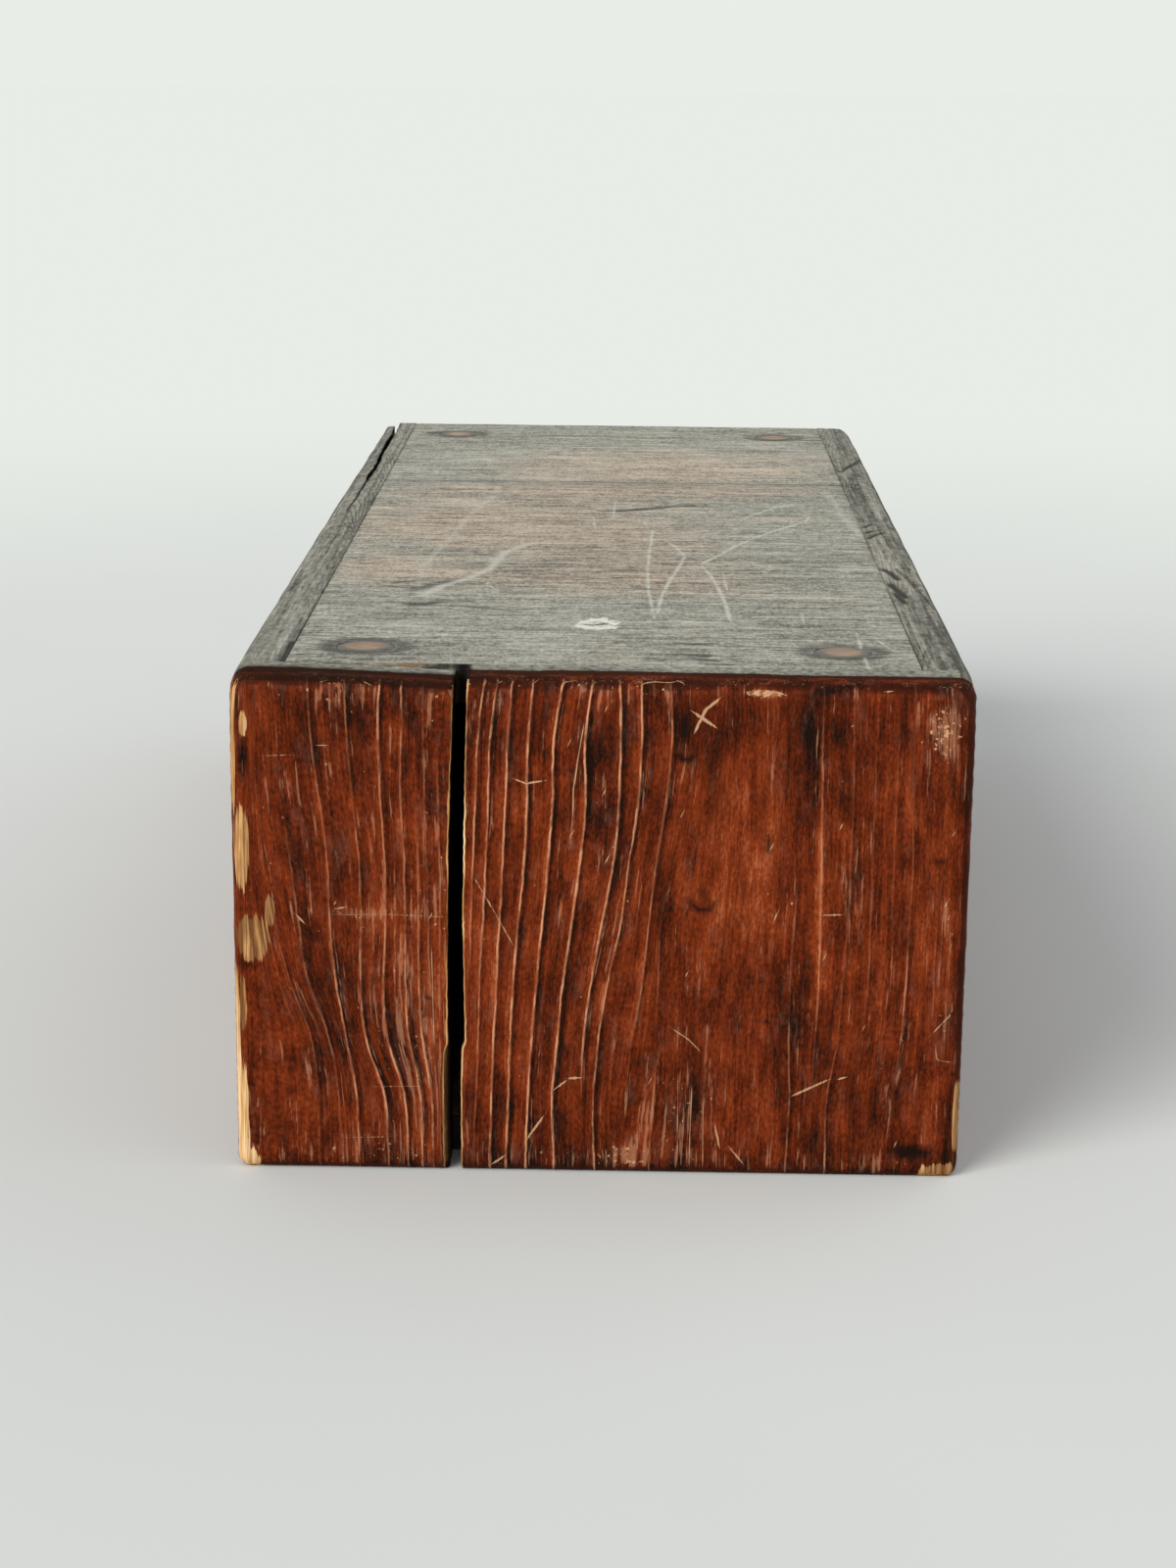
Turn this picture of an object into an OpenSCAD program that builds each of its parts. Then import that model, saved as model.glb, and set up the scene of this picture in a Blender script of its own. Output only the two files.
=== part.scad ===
// Long wooden file box with a flush lid that slides out over the low back board.
// Millimetres. X runs across the box, Y from the split front to the back, Z up.
// The origin is on the floor, under the middle of the box.

/* [Box] */
// Width over the two side boards
body_w = 182; // [150:1:240]
// Length from the front face to the back face
body_l = 460; // [320:1:600]
// Height from the floor to the top of the side boards
body_h = 128; // [100:1:180]
// Radius of the worn upright corners
corner_r = 3.5; // [1:0.5:5]
// Radius of the worn top and bottom edges
edge_r = 3; // [1:0.5:4]

/* [Boards] */
// Thickness of the side boards
side_t = 12; // [10:0.5:18]
// Thickness of the front and back boards
end_t = 15; // [10:0.5:20]
// Thickness of the bottom boards
bottom_t = 9; // [6:0.5:14]
// Wood left outside the rabbets in the side boards
lip_t = 3.5; // [2.5:0.5:5]
// Gap at each fixed joint between boards
joint_gap = 0.1; // [0.05:0.05:0.3]

/* [Split front board] */
// Distance from the left face of the box to the middle of the split
split_from_left = 55.6; // [30:0.1:70]
// Width of the split
split_gap = 3.4; // [2:0.1:6]
// How far the top of the split leans to the right of its foot
split_lean = 1.2; // [0:0.1:3]
// Height at which the right-hand edge of the split steps in
split_step_z = 34; // [20:1:60]
// Sideways size of that step
split_step = 0.8; // [0.2:0.1:1.5]
// Height over which the step runs out
split_step_rise = 5; // [2:0.5:10]
// How far the left piece has dropped beside the split
split_drop = 0.7; // [0:0.1:1.5]

/* [Crack in the left side board] */
// Length of the crack, from the back end
crack_l = 215; // [80:1:260]
// Width of the crack at the back end
crack_w = 1.6; // [0.6:0.1:2]
// Depth of the crack below the top edge
crack_depth = 30; // [14:1:60]
// Distance from the outer face of the board to the crack
crack_from_face = 4.5; // [4:0.1:5]
// Sideways wander of the crack along the grain
crack_wander = 0.4; // [0:0.1:0.6]

/* [Lid] */
// Thickness of the lid boards
lid_t = 10; // [8:0.5:14]
// Thickness of the tongues that run in the side grooves
tongue_t = 5; // [3:0.5:6]
// Reach of the tongues into the side grooves
tongue_w = 4.5; // [3:0.1:4.7]
// Play between the lid and the box
lid_play = 0.4; // [0.2:0.1:0.8]
// Thickness of the tongues between the lid boards
seam_tongue_t = 3; // [2:0.5:4]
// Reach of the tongues between the lid boards
seam_tongue_w = 4; // [2:0.5:8]

/* [Lid battens] */
// Gap between a batten and the side board beside it
batten_from_side = 6.5; // [1:0.5:15]
// Width of a batten
batten_w = 24; // [18:1:30]
// Thickness of a batten
batten_t = 6; // [5:0.5:10]
// Distance the battens stop short of the lid's front edge
batten_inset = 3; // [1:0.5:10]

/* [Lid plugs and screws] */
// Diameter of the wooden plugs
plug_d = 15; // [10:0.5:17]
// Thickness of the wooden plugs
plug_t = 3.5; // [2:0.5:5]
// Distance from the lid's front edge to the front plugs
plug_from_front = 21; // [14:0.5:40]
// Distance from the lid's back edge to the back plugs
plug_from_back = 30; // [14:0.5:40]
// Diameter of the screw shanks
screw_d = 3.5; // [2.5:0.1:5]
// Diameter of the screw heads
screw_head_d = 7; // [5.5:0.1:9]
// Height of the tapered screw heads
screw_head_t = 2.2; // [1.5:0.1:3]
// Width and depth of the slot in a screw head
screw_slot = 0.9; // [0.5:0.1:1.2]
// Wood left under a screw's tip
tip_cover = 1.5; // [0.5:0.1:3]

/* [Nails] */
// Diameter of the nail shanks
nail_d = 2; // [1.4:0.1:2.6]
// Diameter of the nail heads
nail_head_d = 3.6; // [2.8:0.1:4.4]
// Thickness of the nail heads
nail_head_t = 0.9; // [0.5:0.1:1.4]
// Length of the nails
nail_l = 26; // [18:1:32]
// Depth of the nail heads below the wood
nail_set = 0.5; // [0.2:0.1:0.9]
// Distance from a board's end to the nearest nail
nail_margin = 18; // [10:1:25]
// Nails at each end of the front and back boards
end_nail_count = 3; // [2:1:5]
// Gap around nails, screws and plugs
fixing_gap = 0.05; // [0.03:0.01:0.1]

/* [Hidden] */
$fn = 48;

// Extra reach that carries a cut clear of the wood
over = 1;

// Boards that make up the lid, and as many that make up the bottom
board_count = 3;

// Planes of the box
half_w = body_w / 2;
half_l = body_l / 2;
inner_x = half_w - side_t;
rabbet_x = half_w - lip_t;
front_y = -half_l + end_t;
back_y = half_l - end_t;
end_board_x = rabbet_x - joint_gap;

// The lid and the grooves that it runs in
lid_z = body_h - lid_t;
lid_y0 = front_y + lid_play;
lid_y1 = half_l;
lid_top_x = inner_x - lid_play;
tongue_x = inner_x + tongue_w;
groove_x = tongue_x + lid_play;
groove_top_z = lid_z + tongue_t + lid_play;
lid_board_l = (lid_y1 - lid_y0) / board_count;
seam_tongue_z = lid_z + (lid_t - seam_tongue_t) / 2;
batten_z = lid_z - batten_t;
batten_x = inner_x - batten_from_side - batten_w / 2;
back_board_h = lid_z - lid_play;
front_plug_y = lid_y0 + plug_from_front;
back_plug_y = lid_y1 - plug_from_back;
plug_z = body_h - plug_t;
screw_l = lid_t + batten_t - plug_t - tip_cover;

// The bottom and the nails
bottom_board_l = (back_y - front_y - (board_count + 1) * joint_gap) / board_count;
bottom_nail_x = (inner_x + rabbet_x) / 2;
end_nail_y = half_l - end_t / 2;

// Straight stretches along the crack, and the turn that makes them zigzag
crack_steps = 7;
crack_turn = 150;

// Colours
stained = [0.36, 0.13, 0.06];
greyed = [0.42, 0.40, 0.34];
bare = [0.62, 0.45, 0.28];
iron = [0.22, 0.21, 0.20];
plug_brown = [0.45, 0.31, 0.23];

// Middle of the split at height z
function split_x(z) = -half_w + split_from_left + split_lean * (z / body_h - 0.5);

// Front edge of a lid board or a bottom board, counted from 0 at the front
function lid_board_y(i) = lid_y0 + i * lid_board_l;
function bottom_board_y(i) = front_y + joint_gap + i * (bottom_board_l + joint_gap);

// Heights of a row of nails in a board of height h
function nail_heights(h) = [
    for (i = [0 : end_nail_count - 1])
        nail_margin + i * (h - 2 * nail_margin) / (end_nail_count - 1)
];

// A point on one edge of the crack, i steps in from the back end
function crack_point(i, side) = [
    crack_wander * sin(i * crack_turn) + side * crack_w / 2 * (1 - i / crack_steps),
    half_l - crack_l * i / crack_steps + (i == 0 ? over : 0)
];

module block(low, high) {
    translate(low) cube(high - low);
}

module rounded_rectangle(w, h, r) {
    square([w - 2 * r, h], center = true);
    square([w, h - 2 * r], center = true);
    for (x = [-1, 1], y = [-1, 1])
        translate([x * (w / 2 - r), y * (h / 2 - r)]) circle(r);
}

// Outer form of the whole box, with every edge worn round
module worn_outline() {
    intersection() {
        linear_extrude(body_h) rounded_rectangle(body_w, body_l, corner_r);
        translate([0, half_l, body_h / 2]) rotate([90, 0, 0])
            linear_extrude(body_l) rounded_rectangle(body_w, body_h, edge_r);
        translate([-half_w, 0, body_h / 2]) rotate([90, 0, 90])
            linear_extrude(body_w) rounded_rectangle(body_l, body_h, edge_r);
    }
}

// A nail along +Z, with its head set into the wood at z = 0
module nail() {
    translate([0, 0, nail_set]) {
        cylinder(d = nail_head_d, h = nail_head_t);
        cylinder(d = nail_d, h = nail_l);
    }
}

// The hole that a nail leaves, open above its head
module nail_hole() {
    translate([0, 0, -over])
        cylinder(d = nail_head_d + 2 * fixing_gap, h = over + nail_set + nail_head_t + fixing_gap);
    cylinder(d = nail_d + 2 * fixing_gap, h = nail_set + nail_l + fixing_gap);
}

// Places nails through both side boards into an end board of height h, y away from the middle
module at_end_nails(y, h) {
    for (side = [-1, 1], z = nail_heights(h))
        translate([side * half_w, y, z]) rotate([0, -side * 90, 0]) children();
}

// Places nails up through the bottom boards into both side boards
module at_bottom_nails() {
    for (side = [-1, 1], i = [0 : board_count - 1], y = [nail_margin, bottom_board_l - nail_margin])
        translate([side * bottom_nail_x, bottom_board_y(i) + y, 0]) children();
}

// Places what lies under each plug, with z = 0 at the plug's lower face
module at_plugs() {
    for (x = [-batten_x, batten_x], y = [front_plug_y, back_plug_y])
        translate([x, y, plug_z]) children();
}

// Slotted wood screw, head up, with the top of its head at z = 0
module screw() {
    difference() {
        union() {
            translate([0, 0, -screw_head_t])
                cylinder(d1 = screw_d, d2 = screw_head_d, h = screw_head_t);
            translate([0, 0, -screw_l]) cylinder(d = screw_d, h = screw_l);
        }
        translate([-screw_head_d, -screw_slot / 2, -screw_slot])
            cube([2 * screw_head_d, screw_slot, screw_slot + over]);
    }
}

// Clearance for one screw and the plug over it
module screw_hole() {
    cylinder(d = plug_d + 2 * fixing_gap, h = plug_t + over);
    translate([0, 0, -screw_head_t]) cylinder(
        d1 = screw_d + 2 * fixing_gap,
        d2 = screw_head_d + 2 * fixing_gap,
        h = screw_head_t
    );
    translate([0, 0, -screw_l - fixing_gap]) cylinder(d = screw_d + 2 * fixing_gap, h = screw_l);
}

// The right-hand side board: rabbets for the ends and the bottom, and the lid's groove
module side_board() {
    difference() {
        block([inner_x, -half_l, 0], [half_w, half_l, body_h]);
        block([inner_x - over, -half_l - over, -over], [rabbet_x, front_y, body_h + over]);
        block([inner_x - over, back_y, -over], [rabbet_x, half_l + over, lid_z]);
        block([inner_x - over, front_y - over, -over], [rabbet_x, back_y + over, bottom_t]);
        block([inner_x - over, front_y - over, lid_z], [groove_x, half_l + over, groove_top_z]);
        at_end_nails(-end_nail_y, body_h) nail_hole();
        at_end_nails(end_nail_y, back_board_h) nail_hole();
        at_bottom_nails() nail_hole();
    }
}

module right_side_board() {
    color(stained) intersection() {
        side_board();
        worn_outline();
    }
}

module left_side_board() {
    color(stained) difference() {
        intersection() {
            mirror([1, 0, 0]) side_board();
            worn_outline();
        }
        translate([-half_w + crack_from_face, 0, body_h - crack_depth])
            linear_extrude(crack_depth + over)
                polygon(concat(
                    [for (i = [0 : crack_steps - 1]) crack_point(i, -1)],
                    [for (i = [crack_steps : -1 : 0]) crack_point(i, 1)]
                ));
    }
}

// A piece of the front board, from its outline seen from the front
module front_piece(outline) {
    color(stained) intersection() {
        difference() {
            translate([0, front_y, 0]) rotate([90, 0, 0]) linear_extrude(end_t) polygon(outline);
            at_end_nails(-end_nail_y, body_h) nail_hole();
        }
        worn_outline();
    }
}

module front_board_left() {
    front_piece([
        [-end_board_x, 0],
        [split_x(0) - split_gap / 2, 0],
        [split_x(body_h) - split_gap / 2, body_h - split_drop],
        [-end_board_x, body_h]
    ]);
}

module front_board_right() {
    step_top_z = split_step_z + split_step_rise;
    front_piece([
        [split_x(0) + split_gap / 2 - split_step, 0],
        [end_board_x, 0],
        [end_board_x, body_h],
        [split_x(body_h) + split_gap / 2, body_h],
        [split_x(step_top_z) + split_gap / 2, step_top_z],
        [split_x(split_step_z) + split_gap / 2 - split_step, split_step_z]
    ]);
}

// The low back board, notched where the lid's battens pass over it
module back_board() {
    color(stained) intersection() {
        difference() {
            block([-end_board_x, back_y, 0], [end_board_x, half_l, back_board_h]);
            for (x = [-batten_x, batten_x])
                block(
                    [x - batten_w / 2 - lid_play, back_y - over, batten_z - lid_play],
                    [x + batten_w / 2 + lid_play, half_l + over, back_board_h + over]
                );
            at_end_nails(end_nail_y, back_board_h) nail_hole();
        }
        worn_outline();
    }
}

module bottom_board(i) {
    y = bottom_board_y(i);
    color(bare) difference() {
        block([-end_board_x, y, 0], [end_board_x, y + bottom_board_l, bottom_t]);
        at_bottom_nails() nail_hole();
    }
}

module bottom_board_front() { bottom_board(0); }
module bottom_board_middle() { bottom_board(1); }
module bottom_board_back() { bottom_board(2); }

module front_nails() {
    color(iron) at_end_nails(-end_nail_y, body_h) nail();
}

module back_nails() {
    color(iron) at_end_nails(end_nail_y, back_board_h) nail();
}

module bottom_nails() {
    color(iron) at_bottom_nails() nail();
}

// A lid board: side tongues for the grooves, and a tongue and groove to its neighbours
module lid_board(i) {
    y = lid_board_y(i);
    color(greyed) intersection() {
        difference() {
            union() {
                block([-tongue_x, y, lid_z], [tongue_x, y + lid_board_l, lid_z + tongue_t]);
                block([-lid_top_x, y, lid_z], [lid_top_x, y + lid_board_l, body_h]);
                if (i < board_count - 1)
                    block(
                        [-lid_top_x, y + lid_board_l - over, seam_tongue_z],
                        [lid_top_x, y + lid_board_l + seam_tongue_w, seam_tongue_z + seam_tongue_t]
                    );
            }
            if (i > 0)
                block(
                    [-tongue_x - over, y - over, seam_tongue_z - joint_gap],
                    [
                        tongue_x + over,
                        y + seam_tongue_w + joint_gap,
                        seam_tongue_z + seam_tongue_t + joint_gap
                    ]
                );
            at_plugs() screw_hole();
        }
        worn_outline();
    }
}

module lid_board_front() { lid_board(0); }
module lid_board_middle() { lid_board(1); }
module lid_board_back() { lid_board(2); }

module lid_batten(x) {
    color(bare) difference() {
        block(
            [x - batten_w / 2, lid_y0 + batten_inset, batten_z],
            [x + batten_w / 2, lid_y1, lid_z]
        );
        at_plugs() screw_hole();
    }
}

module lid_batten_left() { lid_batten(-batten_x); }
module lid_batten_right() { lid_batten(batten_x); }

module lid_screws() {
    color(iron) at_plugs() screw();
}

module lid_plugs() {
    color(plug_brown) at_plugs() cylinder(d = plug_d, h = plug_t);
}

left_side_board();
right_side_board();
front_board_left();
front_board_right();
back_board();
bottom_board_front();
bottom_board_middle();
bottom_board_back();
front_nails();
back_nails();
bottom_nails();
lid_board_front();
lid_board_middle();
lid_board_back();
lid_batten_left();
lid_batten_right();
lid_screws();
lid_plugs();
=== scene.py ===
"""Looks of a long wooden file box with a sliding lid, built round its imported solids.

Lengths are millimetres, in the frame of the solids: X runs across the box, Y from the split front
to the back, and Z up. A mesh is turned into metres when it is made.
"""
import math
from types import SimpleNamespace

import bpy
import numpy as np
from mathutils import Matrix, Vector


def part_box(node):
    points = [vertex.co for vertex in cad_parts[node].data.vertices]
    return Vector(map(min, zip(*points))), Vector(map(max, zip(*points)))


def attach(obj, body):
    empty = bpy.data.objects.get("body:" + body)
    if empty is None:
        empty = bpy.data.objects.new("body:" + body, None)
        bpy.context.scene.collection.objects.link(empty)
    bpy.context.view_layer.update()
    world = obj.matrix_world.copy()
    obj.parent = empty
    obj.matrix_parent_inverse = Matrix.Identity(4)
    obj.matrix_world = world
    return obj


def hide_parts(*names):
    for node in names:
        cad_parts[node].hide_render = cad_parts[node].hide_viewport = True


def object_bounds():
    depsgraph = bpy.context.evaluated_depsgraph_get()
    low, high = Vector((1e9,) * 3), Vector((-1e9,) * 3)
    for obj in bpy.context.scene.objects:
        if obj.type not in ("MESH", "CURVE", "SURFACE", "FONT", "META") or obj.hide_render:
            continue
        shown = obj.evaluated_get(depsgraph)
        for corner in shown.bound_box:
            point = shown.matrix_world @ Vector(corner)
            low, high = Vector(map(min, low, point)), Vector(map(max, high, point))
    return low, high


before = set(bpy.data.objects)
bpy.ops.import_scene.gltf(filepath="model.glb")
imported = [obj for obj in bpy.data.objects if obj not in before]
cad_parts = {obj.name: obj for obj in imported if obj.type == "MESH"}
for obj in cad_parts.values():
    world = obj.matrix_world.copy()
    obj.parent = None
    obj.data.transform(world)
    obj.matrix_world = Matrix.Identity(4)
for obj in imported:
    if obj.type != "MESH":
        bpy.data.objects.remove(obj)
cad_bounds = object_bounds()

# Sizes of the box, read from its solids
MM = 0.001


def in_mm(corners):
    """Two corners given in metres, in millimetres."""
    return [np.round(np.array(corner) / MM, 3) for corner in corners]


def node_box(name):
    """Lowest and highest corner of a solid."""
    return in_mm(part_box(name))


BOX_LOW, BOX_HIGH = in_mm(cad_bounds)
HALF_W, HALF_L, BODY_H = BOX_HIGH
INNER_X = node_box("right_side_board")[0][0]
END_X, FRONT_Y, _ = node_box("front_board_right")[1]
BACK_Y = node_box("back_board")[0][1]
BACK_H = node_box("back_board")[1][2]
BOTTOM_T = node_box("bottom_board_front")[1][2]
TONGUE_X, LID_Z = node_box("lid_board_middle")[1][0], node_box("lid_board_middle")[0][2]
BOARD_ROW = ("front", "middle", "back")
LID_JOINTS = [node_box(f"lid_board_{part}")[0][1] for part in BOARD_ROW] + [HALF_L]
BATTENS = [node_box(f"lid_batten_{side}") for side in ("left", "right")]
PLUGS_LOW, PLUGS_HIGH = node_box("lid_plugs")

# Sizes that the solids' boxes do not show
JOINT_GAP = 0.1
LID_PLAY = 0.4
TONGUE_T = 5
SEAM_TONGUE_T = 3
SEAM_TONGUE_W = 4
PLUG_R = 7.5
NAIL_HEAD_T = 0.9
NAIL_COUNT = 3
FIXING_GAP = 0.05

RABBET_X = END_X + JOINT_GAP
GROOVE_X = TONGUE_X + LID_PLAY
GROOVE_TOP = LID_Z + TONGUE_T + LID_PLAY
LID_TOP_X = INNER_X - LID_PLAY
SEAM_TONGUE_Z = LID_Z + (BODY_H - LID_Z - SEAM_TONGUE_T) / 2
PLUG_X = PLUGS_HIGH[0] - PLUG_R
PLUG_YS = (PLUGS_LOW[1] + PLUG_R, PLUGS_HIGH[1] - PLUG_R)
PLUG_PLACES = [(x, y) for x in (-PLUG_X, PLUG_X) for y in PLUG_YS]

# Wear: rounding of the outer edges, the lip along the top of the front, and the finish
EDGE_R = 3.2
EDGE_R_SWING = 0.2
EDGE_SWING_SIZE = 22
EDGE_SEED = 11
FAR_CORNER_R = 1.8
FAR_CORNER_REACH = 14
LIP_R = 2.2
LIP_ROUND_REACH = 10
LIP_REACH = 9.2
LIP_SEED = 211
FINISH_DEPTHS = (0.6, 2.0)
RAW_DEPTHS = (1.2, 3.5)

# Grain: height and sag of the front's, how far noise is drawn out along it, and spacing of its lines
RIDGE_H = 0.3
RIDGE_REACH = 0.8
SAG_SEED = 103
GRAIN_STRETCH = 0.05
LID_STRETCH = 0.2
PLUG_STRETCH = 0.15
FINE_LINES = 4
FRONT_COLUMN = 0.85
ARCH_PITCH = 11
SIDE_PITCH = 3.0
BACK_PITCH = 4.2
LID_PITCH = 3.1
# Middle of the log that a board was cut from, and the slant of its rings along the board
SIDE_HEART_IN, SIDE_HEART_UP, SIDE_SLANT = 42, 70, 0.045
BACK_HEART_X, BACK_HEART_IN, BACK_SLANT = 25, 50, 0.03
LID_HEART_DOWN = 30
# Seeds of the noise, by side where there are two
FRONT_SEEDS = {"left": 100, "right": 300}
SPLIT_SEEDS = {"left": 31, "right": 57}
SIDE_SEEDS = {-1: 500, 1: 700}
BACK_SEED = 900
LID_SEED, LID_SEED_STEP = 1200, 50
PLUG_SEED = 61
CRACK_SEED = 71

# Front board: x of each grain line at these heights, and how bright it is there, from 0 to 9
LINE_HEIGHTS = (128, 112, 97, 82, 66, 50, 36, 20, 4)
LEFT_LINES = (
    ((-84.5, -84.0, -83.5, -82.5, -80.5, -76.8, -72.0, -70.2, -70.0), "000012222"),
    ((-79.5, -79.0, -78.3, -76.5, -74.6, -72.2, -67.5, -65.0, -64.5), "011233321"),
    ((-71.6, -70.8, -69.0, -67.2, -66.8, -65.3, -63.0, -60.5, -60.0), "233345663"),
    ((-62.6, -62.0, -60.8, -59.4, -59.0, -59.2, -58.2, -53.5, -52.5), "333445783"),
    ((-54.0, -54.4, -53.9, -53.0, -53.0, -53.5, -52.8, -48.4, -47.6), "754455784"),
    ((-48.7, -48.8, -49.0, -48.3, -48.0, -48.1, -47.3, -44.5, -44.0), "533445685"),
    ((-45.6, -45.5, -45.3, -44.8, -44.7, -44.8, -43.9, -41.6, -41.2), "001345663"),
    ((-43.4, -43.4, -43.2, -42.8, -42.4, -42.1, -41.4, -40.2, -40.0), "233333321"),
    ((-39.9, -39.9, -39.8, -39.5, -39.4, -39.4, -39.3, -39.4, -39.3), "113332222"),
)
RIGHT_LINES = (
    ((-28.5, -30.2, -30.7, -31.3, -31.8, -32.3, -32.5, -33.0, -33.0), "566640000"),
    ((-25.3, -27.2, -27.6, -28.1, -28.8, -29.8, -30.0, -30.6, -31.2), "566666431"),
    ((-21.7, -22.8, -23.4, -24.0, -24.7, -25.5, -26.1, -26.7, -27.1), "577777776"),
    ((-16.7, -17.9, -18.1, -18.6, -20.1, -21.3, -22.0, -22.4, -23.0), "689888777"),
    ((-9.3, -11.6, -11.8, -12.8, -14.2, -15.6, -16.6, -17.5, -18.0), "799998888"),
    ((-2.3, -4.0, -3.8, -4.9, -6.9, -9.0, -10.2, -11.5, -10.9), "799998888"),
    ((4.3, 4.6, 4.4, 3.2, 0.6, -2.0, -3.7, -4.2, -4.5), "688777610"),
    ((9.5, 9.7, 9.0, 7.0, 5.2, 1.9, 0.0, -1.2, -0.7), "677666777"),
    ((16.6, 17.1, 15.8, 13.8, 12.2, 10.6, 8.4, 7.0, 6.5), "456543210"),
    ((22.0, 21.5, 20.0, 17.5, 15.0, 14.6, 14.4, 14.1, 13.0), "001123044"),
    ((31.0, 31.0, 30.5, 30.0, 29.0, 28.0, 27.0, 26.5, 26.0), "000000000"),
    ((48.7, 48.6, 48.5, 48.3, 48.0, 47.3, 47.5, 48.0, 47.5), "000032333"),
    ((53.6, 53.6, 54.0, 54.3, 54.4, 54.5, 54.0, 53.5, 53.2), "234554211"),
    ((61.1, 61.2, 61.5, 61.3, 61.1, 60.3, 59.6, 57.2, 57.3), "222222235"),
    ((66.9, 66.9, 66.8, 66.8, 66.8, 66.6, 65.5, 64.0, 63.8), "112222111"),
    ((72.0, 72.0, 72.0, 72.0, 72.0, 71.5, 70.5, 69.0, 68.5), "012210000"),
    ((75.7, 75.8, 76.0, 76.6, 76.2, 76.0, 75.2, 73.6, 72.6), "212225421"),
    ((83.0, 83.0, 83.0, 83.0, 83.0, 83.0, 82.8, 82.5, 82.0), "000012100"),
)

# Front board: edges of the split as (x, z), from the top down
SPLIT_LEFT = ((-36.2, 128), (-37.1, 97), (-37.7, 66), (-37.7, 34), (-38.5, 32), (-38.6, 0))
SPLIT_RIGHT = (
    (-32.8, 128), (-33.4, 97), (-34.0, 66), (-33.5, 50), (-33.4, 35), (-34.3, 32.5), (-34.2, 0),
)
SPLIT_CHIP_Z = 33
SPLIT_CHIP_W = 1.3
SPLIT_MIDDLE_X = -34.7
# The left piece drops towards the split, from this x and over this run
LEFT_DROP = 1.5
LEFT_DROP_START, LEFT_DROP_RUN = -80, 43
LEFT_DROP_FOOT = 40
# Wood at the split: how bare its edge is, how pale the bare wood is, and how dark the painted shade on
# its wall is
SPLIT_WOOD = {"left": (0.4, -0.5, 0.9), "right": (1.0, 0.1, 0.97)}

# Front face: soft lighter and darker zones as (x, z, reach across, reach up, strength); the dark zone at
# x 90 is painted shade on the right rounded corner
FRONT_TONES = (
    (38, 76, 10, 30, 0.45), (28, 60, 14, 34, 0.25), (54.5, 80, 1.6, 18, 0.9), (54, 55, 3, 11, 0.5),
    (1.2, 46, 1.2, 4, 0.7), (50.5, 97, 3.0, 36, -0.75), (48, 33, 1.6, 36, -0.4),
    (51.5, 55, 0.9, 12, -0.5), (14.5, 68, 2.6, 30, -0.5), (22, 14, 6, 15, -0.8), (52, 10, 6, 5, -0.5),
    (71.5, 15, 2.2, 11, -0.35), (-65, 33, 4, 6, -0.45), (-86.5, 54, 4, 1.5, -0.8),
    (-86.5, 69, 3, 5, -0.6), (79, 7, 5.5, 1.8, -1.4), (-87.5, 107.5, 1.8, 4.5, -1.4),
    (0, 128.5, 200, 3.2, -0.8), (0, 0.5, 200, 2.0, -0.7), (90, 65, 3.0, 80, -0.9),
    (70, 110, 18, 10, -0.2), (-62, 112, 24, 12, -0.15), (-62, 121.5, 26, 4.5, -0.5),
    (64, 30, 20, 20, -0.3), (-60, 14, 26, 14, -0.15), (66, 72, 9, 16, -0.75), (44, 76, 5, 14, -0.7),
    (36, 117, 38, 8, -0.6), (-3, 108, 7, 15, -0.7), (66, 20, 9, 9, -0.4), (-30, 5, 30, 3, -0.3),
    (-41, 5, 4, 5, 0.7), (-35, 121, 3, 5, 0.7), (-64, 78, 5, 8, -0.35), (-76, 96, 5, 16, -0.45),
    (-71.5, 84, 2.2, 18, -0.4), (-80, 8, 13, 7, -0.45), (-82, 27, 5, 6, -0.5), (40, 10, 22, 9, -0.35),
    (-44, 16, 5, 18, 0.35), (0, 3.0, 200, 2.6, -0.3), (5, 56, 5, 22, -0.25), (-64, 72, 24, 56, -0.25),
)
# Front face: places where the finish is gone, as (x, z, half width, half height, paleness)
FRONT_BARE = (
    (-87.6, 115.5, 1.2, 3.4, -0.05), (-88.6, 84, 2.6, 11, -0.4), (-90.7, 110, 0.8, 17, -0.25),
    (-81.5, 68, 1.2, 4.6, -0.6), (-86.3, 61.0, 5.0, 6.0, -0.8), (-88.9, 44, 1.2, 8, -0.75),
    (-90.7, 14, 3.4, 20, 0.2), (-91.5, 38, 1.4, 18, 0.0), (-89.5, 1, 5.0, 5, 0.15),
    (87, 1, 6.0, 3.4, -0.5), (90.9, 16, 1.7, 10, -0.3),
)
# Front face: zones strewn with small pale chips, as (x, z, reach across, reach up, strength)
FRONT_SPECKLED = (
    (83, 115, 4.5, 9, 1.3), (39, 125, 4.5, 1.2, 2.1), (-44, 30, 8, 26, 0.45), (-40, 85, 4, 34, 0.35),
    (86, 42, 2.5, 12, 0.6), (19, 16, 10, 14, 0.6), (7, 5, 6, 4, 0.8), (86, 68, 3, 8, 0.6),
    (72, 28, 6, 14, 0.3), (-60, 68, 14, 1.6, 0.6), (3, 70, 12, 50, 0.3), (60, 70, 8, 30, 0.2),
    (-62, 122.6, 24, 2.6, 0.5), (-28, 122.0, 5, 2.6, 0.5), (8, 123.0, 14, 1.6, 0.4),
    (-62, 72, 24, 56, 0.28), (-60, 6, 24, 5, 0.5), (60, 4, 30, 3, 0.45), (-8, 4, 22, 3, 0.4),
)
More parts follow.
